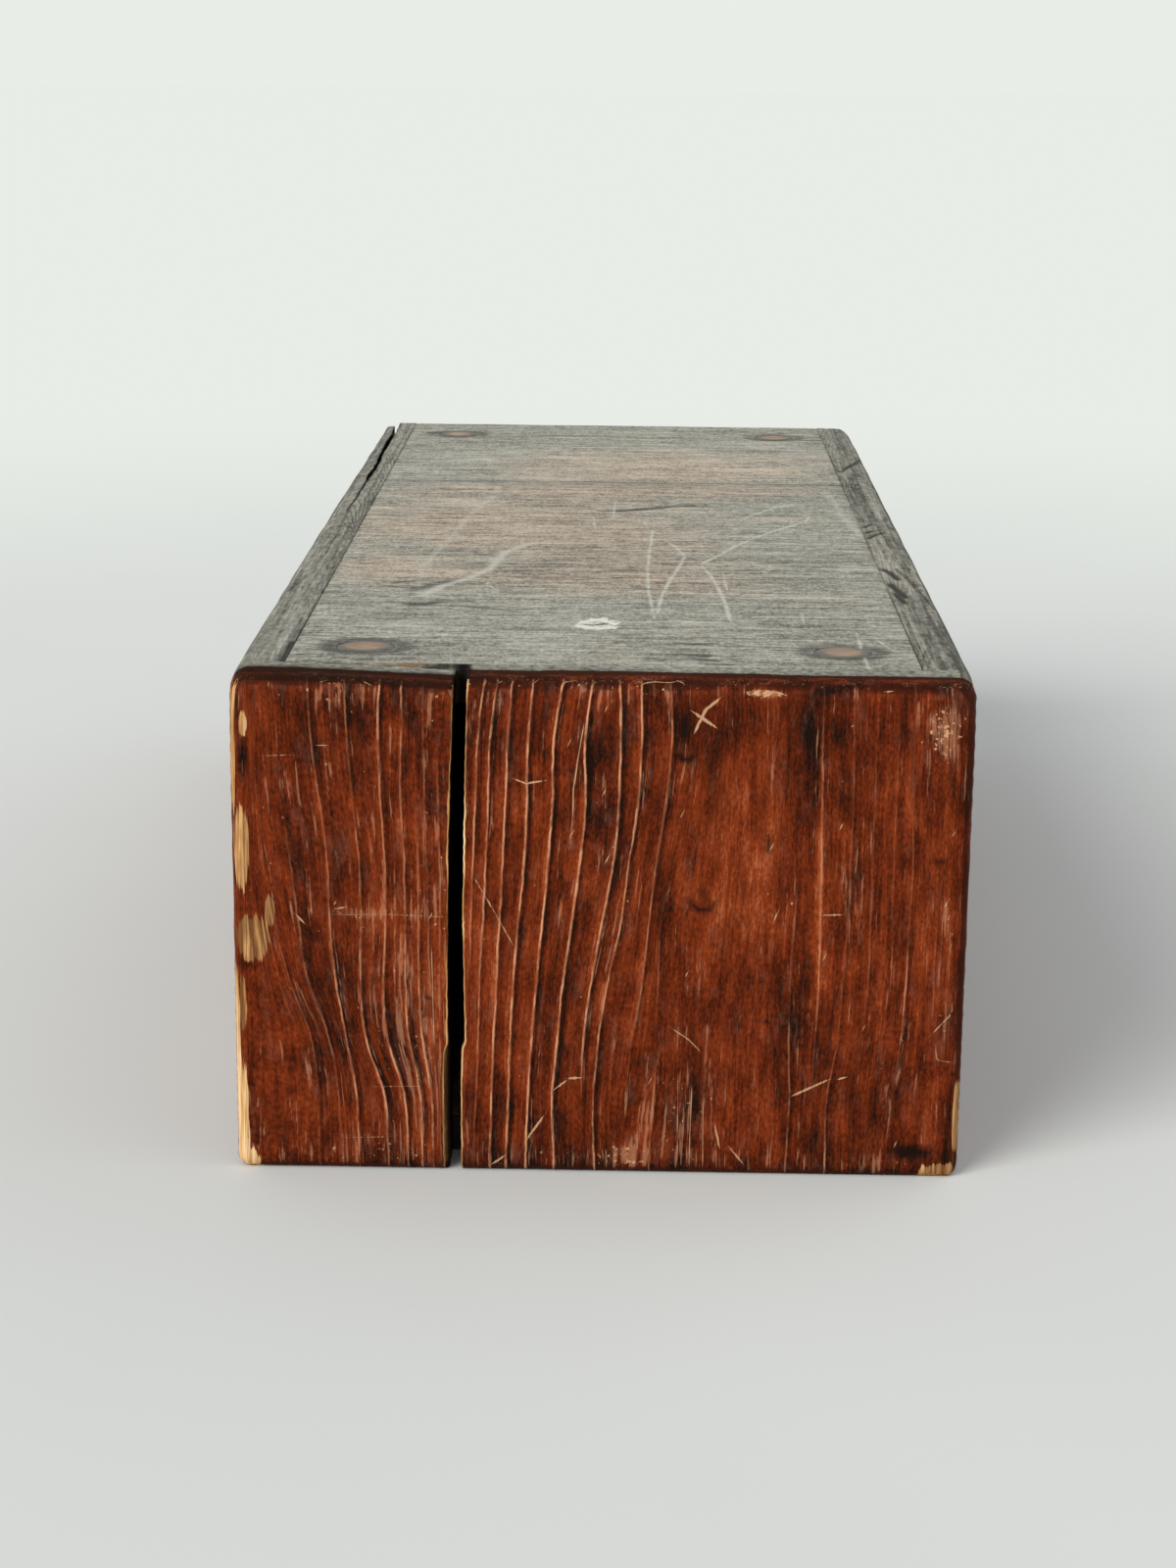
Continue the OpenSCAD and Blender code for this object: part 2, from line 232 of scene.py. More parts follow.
# Front face: pale scratches and chips as (half width, points)
FRONT_SCRATCHES = (
    (0.42, ((28.5, 123.5), (25, 120.5), (22.3, 114.5))),
    (0.45, ((22, 120), (27.5, 116.3))),
    (0.28, ((-21.6, 102.7), (-18.3, 101.5), (-13.8, 102.3))),
    (0.16, ((-30.5, 76.5), (-26.5, 69.5), (-21, 59.5))),
    (0.2, ((18.5, 38.8), (22.4, 36.2), (25.3, 33.2))),
    (0.3, ((-18, 8.5), (-13.5, 15.3))),
    (0.3, ((-11.3, 22), (-8, 24.7))),
    (0.5, ((-7, 25.4), (-4.5, 25.6))),
    (0.3, ((-27, 1.5), (-23.3, 4.5))),
    (0.3, ((48.5, 21.5), (57.5, 26))),
    (0.6, ((60.4, 26.3), (62, 26.8))),
    (0.16, ((84, 35.5), (84.3, 31.6), (87.6, 31.2))),
    (0.18, ((83, 38.5), (87.7, 44), (87.5, 47))),
    (0.25, ((29.5, 13.5), (31, 6.5))),
    (0.25, ((33.5, 7.3), (37, 3))),
    (0.10, ((-66, 67.4), (-52, 67.8), (-38, 67.5))),
    (0.5, ((-65, 69), (-63, 69.4))),
    (0.4, ((-75, 67.2), (-73, 65))),
    (0.12, ((-82, 107.6), (-76, 107.9))),
    (0.22, ((-70, 110.5), (-67.5, 110.6))),
    (0.08, ((-55, 22.4), (-44.5, 22.7))),
    (0.08, ((-62, 8.7), (-53, 9))),
    (0.25, ((55, 69), (59.5, 69.2))),
    (0.3, ((44, 70), (43, 67.5))),
    (0.5, ((36, 124.5), (38, 125.6))),
    (0.6, ((39, 124), (41, 125))),
    (0.5, ((42, 125.4), (44, 124.6))),
    (0.5, ((68.5, 126), (70, 126.2))),
    (0.22, ((-4.3, 117), (-5.6, 109), (-6.8, 100), (-6.9, 94))),
    (0.24, ((-9.5, 127.4), (-8.8, 128.8), (-6.6, 129.6))),
    (0.20, ((-2.6, 127.4), (-1.9, 128.8), (-0.6, 129.4))),
    (0.24, ((9.4, 127.4), (10.2, 128.6), (12.6, 129.6), (15.6, 129.2), (18.6, 130.0))),
    (0.50, ((18.4, 130.0), (19.4, 129.2))),
    (0.18, ((-16.9, 127.6), (-16.0, 129.0))),
    (0.18, ((-25.4, 127.6), (-24.0, 129.2))),
    (0.30, ((-68.4, 127.3), (-67.2, 128.2))),
    (0.34, ((-57.6, 128.3), (-56.5, 127.2))),
    (0.12, ((20, 27), (20.2, 4))),
    (0.14, ((23.5, 24), (23.2, 5))),
    (0.12, ((26.5, 20), (26.6, 3))),
    (0.10, ((-41.6, 58), (-41, 34))),
)
# Front face: small chips as (x, z), and the size of each
FRONT_CHIPS = (
    (1.5, 82.3), (19.7, 94), (0.7, 99.5), (-7.2, 88.7), (-7.8, 112), (1, 120.5), (21.7, 53.2), (13, 25),
    (55.7, 58.3), (66, 40), (75, 9.2), (86.3, 90.3), (58.8, 91.8), (85, 72), (42, 86.5), (-42, 67.3),
)
CHIP_HALF_W = 0.32
CHIP_HALF_L = 0.6
CHIP_LEAN = 0.3
# Front face: dark dents as (half width, strength, points)
FRONT_DENTS = (
    (0.8, 1.2, ((18.3, 108.9), (20.3, 108.0), (22.3, 108.6))),
    (0.8, 1.1, ((22.3, 72.4), (23.2, 70.6), (25.2, 69.6), (27.2, 70.2), (28.0, 71.6))),
    (0.7, 1.0, ((25.4, 75.2), (25.4, 72.6))),
    (0.7, 1.0, ((41.2, 88.5), (41.0, 85.2))),
    (0.9, 1.0, ((76.0, 7.2), (79.5, 6.6), (83.0, 6.9))),
    (0.8, 0.9, ((82.4, 83.0), (84.4, 83.4))),
    (0.7, 0.9, ((-8.0, 105.0), (-7.3, 105.2))),
    (0.6, 0.9, ((41.7, 41.0), (42.4, 41.2))),
    (0.7, 0.9, ((-53.4, 51.5), (-52.6, 51.8))),
    (0.6, 0.9, ((-42.4, 46.0), (-41.7, 46.2))),
    (0.8, 0.8, ((-76.4, 21.0), (-75.6, 21.3))),
    (0.8, 0.8, ((-68.9, 23.5), (-68.0, 23.8))),
    (0.5, 0.7, ((35.3, 68.0), (36.2, 66.4))),
    (0.5, 0.7, ((52.9, 8.0), (55.2, 6.2))),
    (0.5, 0.9, ((88.2, 25.0), (88.0, 5.0))),
)

# Lid: pale thin scratches as (half width, points in x and y)
LID_SCRATCHES = (
    (0.35, ((13, -17), (12.4, -40), (11.8, -58), (11.3, -86), (11.5, -117), (12.4, -140), (12.8, -155))),
    (0.4, (
        (18, -37), (21, -51), (22.4, -61), (21, -74),
        (19.2, -88), (16.5, -109), (14.9, -126), (13.6, -150),
    )),
    (0.5, ((63.6, 14), (61.8, 4), (53, -10), (44.3, -27), (38, -42), (32.4, -59), (27.4, -72))),
    (0.5, ((26.9, -75), (29.3, -90), (31.1, -111), (32.4, -132), (33, -156))),
    (0.25, ((33, -88), (33.4, -111))),
    (0.45, ((60, 40), (53.6, 31), (49.3, 24), (42.4, 9))),
    (0.3, ((1, 42), (0.8, 26), (0.5, 6))),
    (0.25, ((65.5, -171), (65.4, -216))),
    (0.3, ((70.5, -180), (73, -191))),
    (0.3, ((52.6, -147), (52.4, -160))),
    (0.35, ((17, -157), (25, -158.6), (33, -159))),
    (0.25, ((-5.7, 9), (-5.1, -10))),
    (0.25, ((-34, -102), (-33.6, -110), (-31, -117))),
    (0.35, ((-59, -127), (-46, -129))),
)
# Lid: broad pale streaks as (half width, strength, points)
LID_STREAKS = (
    (1.7, 0.9, (
        (-24.5, -42), (-30.8, -57), (-33, -72), (-34.3, -86), (-39, -98), (-46, -111), (-51, -127),
    )),
    (1.5, 0.5, ((-39, 70), (-40, 45), (-45.8, 6), (-48.9, -32), (-52, -62), (-53.9, -90), (-52, -127))),
    (2.0, 0.5, ((72, 70), (73.6, 40), (75, 5), (78, -22))),
    (1.2, 0.7, ((27, -119), (30, -122))),
    (1.5, 0.8, ((19.5, 42), (21.5, 38))),
)
# Lid: dark marks as (half width, strength, points)
LID_MARKS = (
    (2.3, 1.15, ((2, 22.5), (9, 25.5), (16, 29.5))),
    (1.5, 0.9, ((-3, 21.5), (2, 22.5), (16, 29.5), (21, 33), (27, 35))),
    (2.0, 0.6, ((-60, -108), (-54, -104), (-42.5, -99.5))),
    (3.2, 0.65, ((-54, -118), (-50, -111), (-45, -103.5))),
    (2.8, 0.85, ((-53, -139), (-49, -138.5), (-46, -134.5))),
    (2.4, 0.65, ((-46, -133.5), (-37, -132.6))),
    (2.2, 0.6, ((-36, -141.5), (-24, -146.4))),
    (0.6, 0.7, ((39, -116), (35, -123), (33, -129))),
    (0.6, 0.7, ((33.6, -141), (37, -147), (40, -154))),
    (1.0, 1.0, ((17.8, -185.1), (22.6, -186.0), (29.0, -184.9))),
    (1.6, 0.9, ((20.5, -199.0), (26.0, -200.5))),
    (1.8, 0.8, ((22.0, -204.0), (28.0, -206.0))),
    (1.6, 0.7, ((24.0, -209.0), (31.0, -210.5))),
    (1.0, 0.9, ((-6.4, -162.4), (-3.6, -164.2), (-1.0, -163.0))),
    (0.9, 0.8, ((-1.2, -160.8), (1.6, -162.6), (2.6, -165.0))),
    (1.0, 0.6, ((-13, -92), (-7.4, -95.7), (-1, -98.7), (6.2, -94.7))),
    (1.0, 0.5, ((48, -94), (56.5, -97), (64.4, -100.4))),
    (0.5, 0.8, ((-39, -187), (-39.3, -192))),
    (0.5, 0.8, ((-35, -195), (-34.6, -199))),
    (0.5, 0.6, ((-24, -184), (-24.2, -189))),
    (0.6, 0.5, ((-33, -159), (-26, -159))),
    (0.6, 0.5, ((47, -153.6), (60, -153.8))),
    (1.4, 0.8, ((-39.5, -59.5), (-37.6, -61.5), (-35.6, -60))),
    (0.9, 0.6, ((-9.4, 2), (-8.6, 1.6))),
    (0.7, 0.5, ((29.9, 227), (29.9, 182))),
    (1.4, 0.6, ((23.6, 221), (22.6, 214))),
    (1.4, 0.5, ((46, 222), (44, 215))),
    (1.0, 0.6, ((-15, 163), (-15.2, 158))),
    (1.0, 0.5, ((64, -55), (70, -55.5), (73.6, -64), (75, -72))),
    (0.8, 0.4, ((37, -72), (47, -74))),
    (0.8, 0.4, ((53, -31), (60, -31.5))),
    (1.2, 0.4, ((-60, 3), (-40, 3.5))),
    (0.7, 0.6, ((-62.6, 57), (-62.8, 46))),
)
# Lid: browner zones as (x, y, reach across, reach along, strength)
LID_WARMTH = (
    (20, 120, 62, 44, 0.8), (-45, -5, 48, 40, 0.75), (-68, -88, 26, 26, 0.6), (5, -55, 40, 50, 0.5),
    (-10, 60, 70, 18, 0.6), (0, -104, 55, 20, 0.5), (60, 40, 22, 16, -0.2), (55, -45, 26, 34, -0.2),
    (-66, 150, 24, 50, -0.4), (5, -200, 14, 14, 0.35), (0, 10, 90, 110, 0.22),
)
# Lid: lighter and darker zones as (x, y, reach across, reach along, strength)
LID_TONES = (
    (0, 122, 80, 40, 0.35), (0, 52, 60, 17, -0.3), (5, -85, 46, 24, -0.45), (66, -205, 15, 14, -0.4),
    (-62, -202, 19, 15, -0.4), (56, 212, 28, 12, -0.35), (-10, -40, 18, 30, -0.2),
)
PAINT_SPOT = (-2, -163)
PAINT_SPOT_REACH = (6.2, 8.5)
HALO_WIDEN = 1.2

# Tops of the side boards: dark marks as (side, half width, strength, points in x and y)
SIDE_TOP_MARKS = (
    (1, 1.1, 1.3, ((79.9, -77.5), (81.6, -82.3), (83.1, -93.2))),
    (1, 1.2, 1.3, ((80.2, -100.5), (81.5, -109.7), (82.9, -119.5))),
    (1, 0.9, 1.3, ((80.4, -115.2), (82.0, -128.4))),
    (1, 0.6, 0.8, ((83.9, -76.2), (86.0, -93.0), (87.6, -112.9), (89.6, -135.7))),
    (1, 0.8, 1.2, ((79.9, -4.4), (81.5, -0.5), (83.7, 1.7))),
    (1, 0.8, 1.2, ((79.6, -15.5), (82.0, -10.5), (84.4, -8.7))),
    (1, 0.8, 1.1, ((79.7, -25.0), (82.4, -18.0), (84.9, -13.8))),
    (1, 0.7, 1.0, ((80.2, 112.0), (85.0, 128.0), (90.6, 147.0))),
    (1, 0.7, 0.9, ((81.6, 121.0), (90.9, 139.0))),
    (1, 0.5, 0.6, ((80.6, 98.0), (86.3, 89.3), (90.5, 74.6))),
    (1, 0.5, 0.6, ((90.0, -157.0), (90.4, -180.0))),
    (-1, 0.5, 0.5, ((-84, -90), (-86.5, -105), (-88, -122))),
    (-1, 0.5, 0.5, ((-82, -40), (-84, -60), (-85, -80))),
    (-1, 0.6, 0.7, ((-80.2, -160), (-80, -190))),
    (-1, 0.9, 1.2, ((-79.6, -190), (-79.4, -213))),
)

# Tops of the side boards, by side: strength of their grain lines, and how much darker they are
SIDE_TOP_GAIN = {-1: 0.38, 1: 0.3}
SIDE_TOP_SHADE = {-1: 0.15, 1: 0.5}

# Crack in the left side board: its middle as (x, y), and its width at the back end
CRACK = ((-85.2, 12), (-84.9, 77), (-84.9, 130), (-85.5, 157), (-85.4, 182), (-85.8, 212), (-86.1, 231))
CRACK_W = 1.9
CRACK_CELL = (-85.8, -84.8)
CRACK_FOOT = 98
CRACK_START = 15
SLIVER_DROP = 1.2
SEAM_CLOSE = 0.22

# Colours, as linear light
STAIN_BLACK = (0.012, 0.0050, 0.0030)
STAIN_DARK = (0.040, 0.0078, 0.0030)
STAIN_DEEP = (0.088, 0.0130, 0.0030)
STAIN_MID = (0.150, 0.0230, 0.0052)
STAIN_WARM = (0.228, 0.0375, 0.0085)
STAIN_LIGHT = (0.380, 0.100, 0.036)
STAIN_HAZE = (0.27, 0.112, 0.072)
LIP_DARK = (0.040, 0.0135, 0.0062)
LINE_PALE = (0.62, 0.275, 0.145)
SCRATCH_PALE = (0.62, 0.36, 0.195)
BARE_LIGHT = (0.90, 0.65, 0.36)
BARE_MID = (0.56, 0.29, 0.11)
BARE_DARK = (0.16, 0.065, 0.022)
GREY_DARK = (0.090, 0.088, 0.073)
GREY_MID = (0.300, 0.296, 0.247)
GREY_LIGHT = (0.52, 0.51, 0.44)
BROWN_DARK = (0.13, 0.098, 0.070)
BROWN_MID = (0.405, 0.337, 0.258)
BROWN_LIGHT = (0.62, 0.525, 0.420)
RAW_DARK = (0.13, 0.068, 0.030)
RAW_MID = (0.29, 0.165, 0.078)
RAW_LIGHT = (0.44, 0.285, 0.15)
# Near black for smudges, and for the painted shade behind the lip on greyed tops.
SMUDGE_AND_SHADE = (0.035, 0.036, 0.033)
PAINT_WHITE = (0.70, 0.72, 0.62)
PLUG_DARK = (0.13, 0.088, 0.062)
PLUG_MID = (0.29, 0.195, 0.130)
PLUG_LIGHT = (0.42, 0.295, 0.205)
IRON_DARK = (0.035, 0.031, 0.028)
IRON_RUST = (0.135, 0.055, 0.025)
# Near black for painted shade in the split, the crack and the gap at the lid's front edge.
PAINTED_SHADE_BLACK = (0.006, 0.004, 0.0035)
CHALK = (0.58, 0.58, 0.50)
FLOOR_PALE = (0.69, 0.71, 0.69)
FLOOR_DIM = (0.66, 0.68, 0.665)
FLOOR_FAR = (0.784, 0.823, 0.774)
BACKGROUND = (0.81, 0.85, 0.80)


# Noise and easing

TINY = 1e-9
NOISE_TABLE = 4096
NOISE_KEYS = np.array((7919, 104729, 1299709))


def ease(value, low, high):
    """0 below low, 1 above high and a smooth step between them."""
    share = np.clip((value - low) / (high - low), 0, 1)
    return share * share * (3 - 2 * share)


def bell(gap, reach):
    """1 at no gap, fading out over about the given reach."""
    return np.exp(-((gap / reach) ** 2))


def joined(*columns):
    """Columns of values side by side, with a row per point."""
    return np.stack(columns, axis=1)


def on_line(values):
    """Points along one axis, for noise that runs along a line."""
    return joined(values, np.zeros_like(values), np.zeros_like(values))


def noise(points, size, seed):
    """Smooth noise from -1 to 1 with bumps of about the given size, which may differ per axis."""
    table = np.random.default_rng(seed).uniform(-1, 1, NOISE_TABLE)
    scaled = points / np.asarray(size, float)
    cell = np.floor(scaled).astype(np.int64)
    share = scaled - cell
    share = share * share * (3 - 2 * share)
    total = np.zeros(len(points))
    for corner in np.ndindex(2, 2, 2):
        key = (cell + corner) @ NOISE_KEYS
        weight = np.where(corner, share, 1 - share).prod(axis=1)
        total += weight * table[key % NOISE_TABLE]
    return total


def rough(points, size, seed):
    """Noise of three sizes, each half as large and half as strong as the one before."""
    size = np.asarray(size, float)
    total = noise(points, size, seed)
    total += noise(points, size / 2, seed + 1) / 2
    total += noise(points, size / 4, seed + 2) / 4
    return total / 1.75


# Lattices

MARK_ROOM = 0.22
HOLE_REACH = 2.2
HOLE_SHARES = (-HOLE_REACH, -1.5, -1, -0.5, 0, 0.5, 1, 1.5, HOLE_REACH)
# Width of the strip along a worn edge, and the step between lattice lines in it
EDGE_ZONE = 4
EDGE_STEP = 0.5


def axis(*stretches, marks=()):
    """Lattice lines through stretches of (start, stop, step), moved aside for the marks."""
    lines = np.concatenate([
        np.linspace(start, stop, max(1, math.ceil(abs(stop - start) / step - 1e-6)) + 1)
        for start, stop, step in stretches
    ])
    lines = np.unique(np.round(lines, 4))
    for mark in marks:
        lines = lines[np.abs(lines - mark) > MARK_ROOM]
    return np.unique(np.round(np.append(lines, list(marks)), 4))


def everywhere(x, y, z):
    """A lattice with all its cells solid."""
    return np.ones(x.shape, bool)


def skin(axes, solid):
    """Outside of the solid cells of a lattice: its points, and quads that index them."""
    counts = [len(lines) for lines in axes]
    middles = [(lines[1:] + lines[:-1]) / 2 for lines in axes]
    filled = np.pad(solid(*np.meshgrid(*middles, indexing="ij")), 1).astype(np.int8)
    numbers = np.arange(np.prod(counts)).reshape(counts)
    inner = slice(1, -1)
    quads = []
    for along in range(3):
        order = (along, (along + 1) % 3, (along + 2) % 3)
        step = np.diff(filled.transpose(order), axis=0)[:, inner, inner]
        ids = numbers.transpose(order)
        corners = np.stack([ids[:, :-1, :-1], ids[:, 1:, :-1], ids[:, 1:, 1:], ids[:, :-1, 1:]], axis=-1)
        quads.append(corners[step == -1])
        quads.append(corners[step == 1][:, ::-1])
    used, quads = np.unique(np.concatenate(quads), return_inverse=True)
    index = np.unravel_index(used, counts)
    points = joined(*(axes[a][index[a]] for a in range(3)))
    return points, quads.reshape(-1, 4)


def round_hole(points, a, b, centre, radius):
    """Turns the square of lattice lines round a hole across two axes into a circle."""
    da, db = points[:, a] - centre[0], points[:, b] - centre[1]
    square = np.maximum(np.abs(da), np.abs(db))
    circle = np.maximum(np.hypot(da, db), TINY)
    reach = HOLE_REACH * radius
    share = np.clip((reach - square) / (reach - radius), 0, 1)
    scale = 1 + share * (square / circle - 1)
    points[:, a] = centre[0] + da * scale
    points[:, b] = centre[1] + db * scale


def hole_marks(centres, radius):
    """Lattice lines that round holes need."""
    return [centre + radius * share for centre in centres for share in HOLE_SHARES]


def worn(points):
    """Rounds the outer edges of the box, and gives the way that the outer surface faces."""
    radius = EDGE_R + EDGE_R_SWING * noise(points, EDGE_SWING_SIZE, EDGE_SEED)
    from_corner = np.hypot(points[:, 0] - HALF_W, points[:, 1] - HALF_L)
    radius += FAR_CORNER_R * bell(from_corner, FAR_CORNER_REACH)
    from_lip = np.hypot(points[:, 1] + HALF_L, points[:, 2] - BODY_H)
    radius += LIP_R * bell(from_lip, LIP_ROUND_REACH)
    core = np.clip(points, BOX_LOW + radius[:, None], BOX_HIGH - radius[:, None])
    out = points - core
    length = np.linalg.norm(out, axis=1)
    reach = np.abs(out).max(axis=1)
    safe = np.maximum(length, TINY)[:, None]
    return core + out * reach[:, None] / safe, out / safe


def skin_depth(points):
    """Depth of a point below the nearest outer face of the box."""
    return np.minimum(points - BOX_LOW, BOX_HIGH - points).min(axis=1)


# Marks on a surface

STROKE_REACH = 3.0
STROKE_TAPER = 2.5
STROKE_LAYERS = 3
STREWN_HALF_WIDTHS = (0.08, 0.3)


def spots(zones, a, b):
    """Sum of soft round zones, each (a, b, reach, reach, strength)."""
    total = np.zeros(len(a))
    for za, zb, ra, rb, strength in zones:
        total += strength * np.exp(-(((a - za) / ra) ** 2 + ((b - zb) / rb) ** 2))
    return total


def patches(zones, a, b):
    """How far inside the nearest zone a point is, negative outside, and that zone's last value."""
    field, value = np.full(len(a), -1.0), np.zeros(len(a))
    for za, zb, ra, rb, zone_value in zones:
        inside = 1 - np.hypot((a - za) / ra, (b - zb) / rb)
        value = np.where(inside > field, zone_value, value)
        field = np.maximum(field, inside)
    return field, value


def follow(route, a, b):
    """Each point's distance from a route, its offset to one side, and how far in from the ends it is."""
    route = np.array(route, float)
    steps = np.diff(route, axis=0)
    lengths = np.hypot(steps[:, 0], steps[:, 1])
    total, run = lengths.sum(), 0.0
    best, side, inside = np.full(len(a), np.inf), np.zeros(len(a)), np.zeros(len(a))
    for start, step, length in zip(route, steps, lengths):
        da, db = a - start[0], b - start[1]
        along = (da * step[0] + db * step[1]) / length
        offset = (db * step[0] - da * step[1]) / length
        gap = np.hypot(offset, along - np.clip(along, 0, length))
        closer = gap < best
        best = np.where(closer, gap, best)
        side = np.where(closer, offset, side)
        inside = np.where(closer, np.minimum(run + along, total - run - along), inside)
        run += length
    return best, side, inside


def apart(route, others):
    """True if a route's box stays clear of the boxes of other routes."""
    low, high = np.min(route, axis=0), np.max(route, axis=0)
    room = 2 * STROKE_REACH
    return all(
        (low > np.max(other, axis=0) + room).any() or (high < np.min(other, axis=0) - room).any()
        for other in others
    )


def stroke_fields(strokes, a, b):
    """Offset from the nearest stroke and its half width, in layers of strokes clear of each other."""
    routes = [[] for _ in range(STROKE_LAYERS)]
    fields = {}
    for layer in range(STROKE_LAYERS):
        fields[f"cut_{layer}"] = np.full(len(a), STROKE_REACH)
        fields[f"width_{layer}"] = np.full(len(a), -1.0)
    for half_width, route in strokes:
        free = [layer for layer in range(STROKE_LAYERS) if apart(route, routes[layer])]
        layer = free[0] if free else STROKE_LAYERS - 1
        routes[layer].append(route)
        gap, side, inside = follow(route, a, b)
        near = gap < STROKE_REACH
        width = half_width * np.clip(inside / STROKE_TAPER + 0.35, -2, 1)
        fields[f"cut_{layer}"][near] = side[near]
        fields[f"width_{layer}"][near] = width[near]
    return fields


def soft_strokes(strokes, a, b):
    """Strength of broad strokes, each (half width, strength, points)."""
    total = np.zeros(len(a))
    for half_width, strength, route in strokes:
        gap, _, _ = follow(route, a, b)
        total = np.maximum(total, strength * bell(gap, half_width))
    return total


def strewn_strokes(seed, count, low, high, lengths):
    """Scratches strewn over a rectangle, the same on each run."""
    random = np.random.default_rng(seed)
    strokes = []
    for _ in range(count):
        start = random.uniform(low, high)
        turn = random.uniform(0, math.tau)
        length = random.uniform(*lengths)
        stop = start + length * np.array((math.cos(turn), math.sin(turn)))
        strokes.append((random.uniform(*STREWN_HALF_WIDTHS), (tuple(start), tuple(stop))))
    return strokes


# Pieces

SHARP_ANGLE = math.radians(38)


def make_piece(node, body, places, quads, fields, material):
    """A mesh with a value per point for each field, which stands for a solid and moves with its body."""
    name = f"worn_{node}"
    mesh = bpy.data.meshes.new(name)
    mesh.from_pydata((places * MM).tolist(), [], quads.tolist())
    for key, values in fields.items():
        kind, part = ("FLOAT_VECTOR", "vector") if values.ndim == 2 else ("FLOAT", "value")
        data = mesh.attributes.new(key, kind, "POINT").data
        data.foreach_set(part, values.astype(np.float32).ravel())
    mesh.shade_smooth()
    mesh.set_sharp_from_angle(angle=SHARP_ANGLE)
    mesh.materials.append(material)
    piece = bpy.data.objects.new(name, mesh)
    bpy.context.scene.collection.objects.link(piece)
    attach(piece, body)
    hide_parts(node)


def wear_fields(points, facing, seed):
    """Fields that all boards share: greyed tops, dirty edges, raw inner faces, and nothing bare yet."""
    depth = skin_depth(points)
    outer = 1 - ease(depth, *FINISH_DEPTHS)
    edge = 1 - np.abs(facing).max(axis=1)
    ragged = rough(points, 14, seed)
    patchy = rough(points, 6, seed + 40)
    return {
        "inside": ease(depth, *RAW_DEPTHS),
        "weather": ease(facing[:, 2] + 0.10 * ragged, 0.50, 0.80) * outer,
        "grime": outer * ease(edge, 0.02, 0.20) * np.clip(0.5 + patchy, 0, 1),
        "bare": np.full(len(points), -1.0),
        "tone": 0.3 * rough(points, 30, seed + 5),
    }


def wear_lip(fields, points):
    """Wears the lip along the top of the front: bare of grey, black in part, with the top darkened behind
    it by painted shade and some dirt.
    """
    ragged = rough(points, (7, 4, 7), LIP_SEED)
    behind = points[:, 1] + HALF_L
    top = ease(points[:, 2], BODY_H - 1.2, BODY_H - 0.2)
    left = ease(-points[:, 0], 30, 45)
    right = ease(points[:, 0], 20, 60)
    reach = LIP_REACH + 0.3 * left - 1.7 * right + 1.3 * ragged
    worn_off = ease(reach - behind, -0.4, 0.8)
    # Darkening of the top behind the lip: painted shade, with some dirt.
    shade_behind_lip = top * ease(reach + 4 + 0.7 * ragged - behind, -1, 5) * (0.4 + 0.4 * left)
    fields["lip"] = worn_off * top * ease(behind + 1.5 * ragged, 3.0, 6.0)
    fields["mark"] = np.maximum(fields["mark"], shade_behind_lip)
    fields["weather"] = fields["weather"] * (1 - worn_off)


def set_back(points, facing):
    """How far the front face stands back to leave room for its grain, and how far points belong to it."""
    share = np.maximum(0, 1 - (points[:, 1] + HALF_L) / 4) * np.clip(-facing[:, 1], 0, 1)
    return (RIDGE_H + 0.1 + 0.12 * rough(points, (9, 9, 40), SAG_SEED)) * share, share


def growth_lines(distance, pitch):
    """Ring count and line spacing for a board cut from a log, by the distance from its middle."""
    return {"ring": distance / pitch, "pitch": np.full(len(distance), float(pitch))}


def arched_lines(across, along, seed):
    """Ring count and line spacing where a board's edge cuts the growth rings in long arches."""
    run = on_line(along)
    offset = across - (INNER_X + HALF_W) / 2 - 2.5 * noise(run, 60, seed + 31)
    sweep = 26 * noise(run, 95, seed + 33) + along
    ring = offset ** 2 / ARCH_PITCH + sweep / ARCH_PITCH
    return {"ring": ring, "pitch": 1 / np.hypot(2 * offset / ARCH_PITCH, 1 / ARCH_PITCH)}


def ridges(fields):
    """1 on a growth line and 0 away from it."""
    offset = (fields["ring"] - np.round(fields["ring"])) * fields["pitch"]
    return bell(offset, RIDGE_REACH)


# Front board, in two pieces

def curve_through(heights, values, z):
    """Smooth curve through values at falling heights."""
    h, v = np.array(heights[::-1], float), np.array(values[::-1], float)
    slope = np.gradient(v, h)
    k = np.clip(np.searchsorted(h, z) - 1, 0, len(h) - 2)
    gap = h[k + 1] - h[k]
    t = np.clip((z - h[k]) / gap, 0, 1)
    rise = v[k + 1] - v[k]
    bend = (slope[k] * gap - rise) * (1 - t) + (rise - slope[k + 1] * gap) * t
    return v[k] + rise * t + t * (1 - t) * bend


def ragged_edge(route, z, seed):
    """x of a split edge with torn fibres, given as (x, z) points from the top down."""
    route = np.array(route[::-1], float)
    along = on_line(z)
    straight = np.interp(z, route[:, 1], route[:, 0])
    return straight + 0.16 * rough(along, 7, seed) + 0.08 * noise(along, 1.1, seed + 7)


def chip_strokes():
    """A short stroke for each small chip of the front face."""
    lean = CHIP_LEAN
    return [
        (CHIP_HALF_W, ((x - lean, z - CHIP_HALF_L), (x + lean, z + CHIP_HALF_L)))
        for x, z in FRONT_CHIPS
    ]


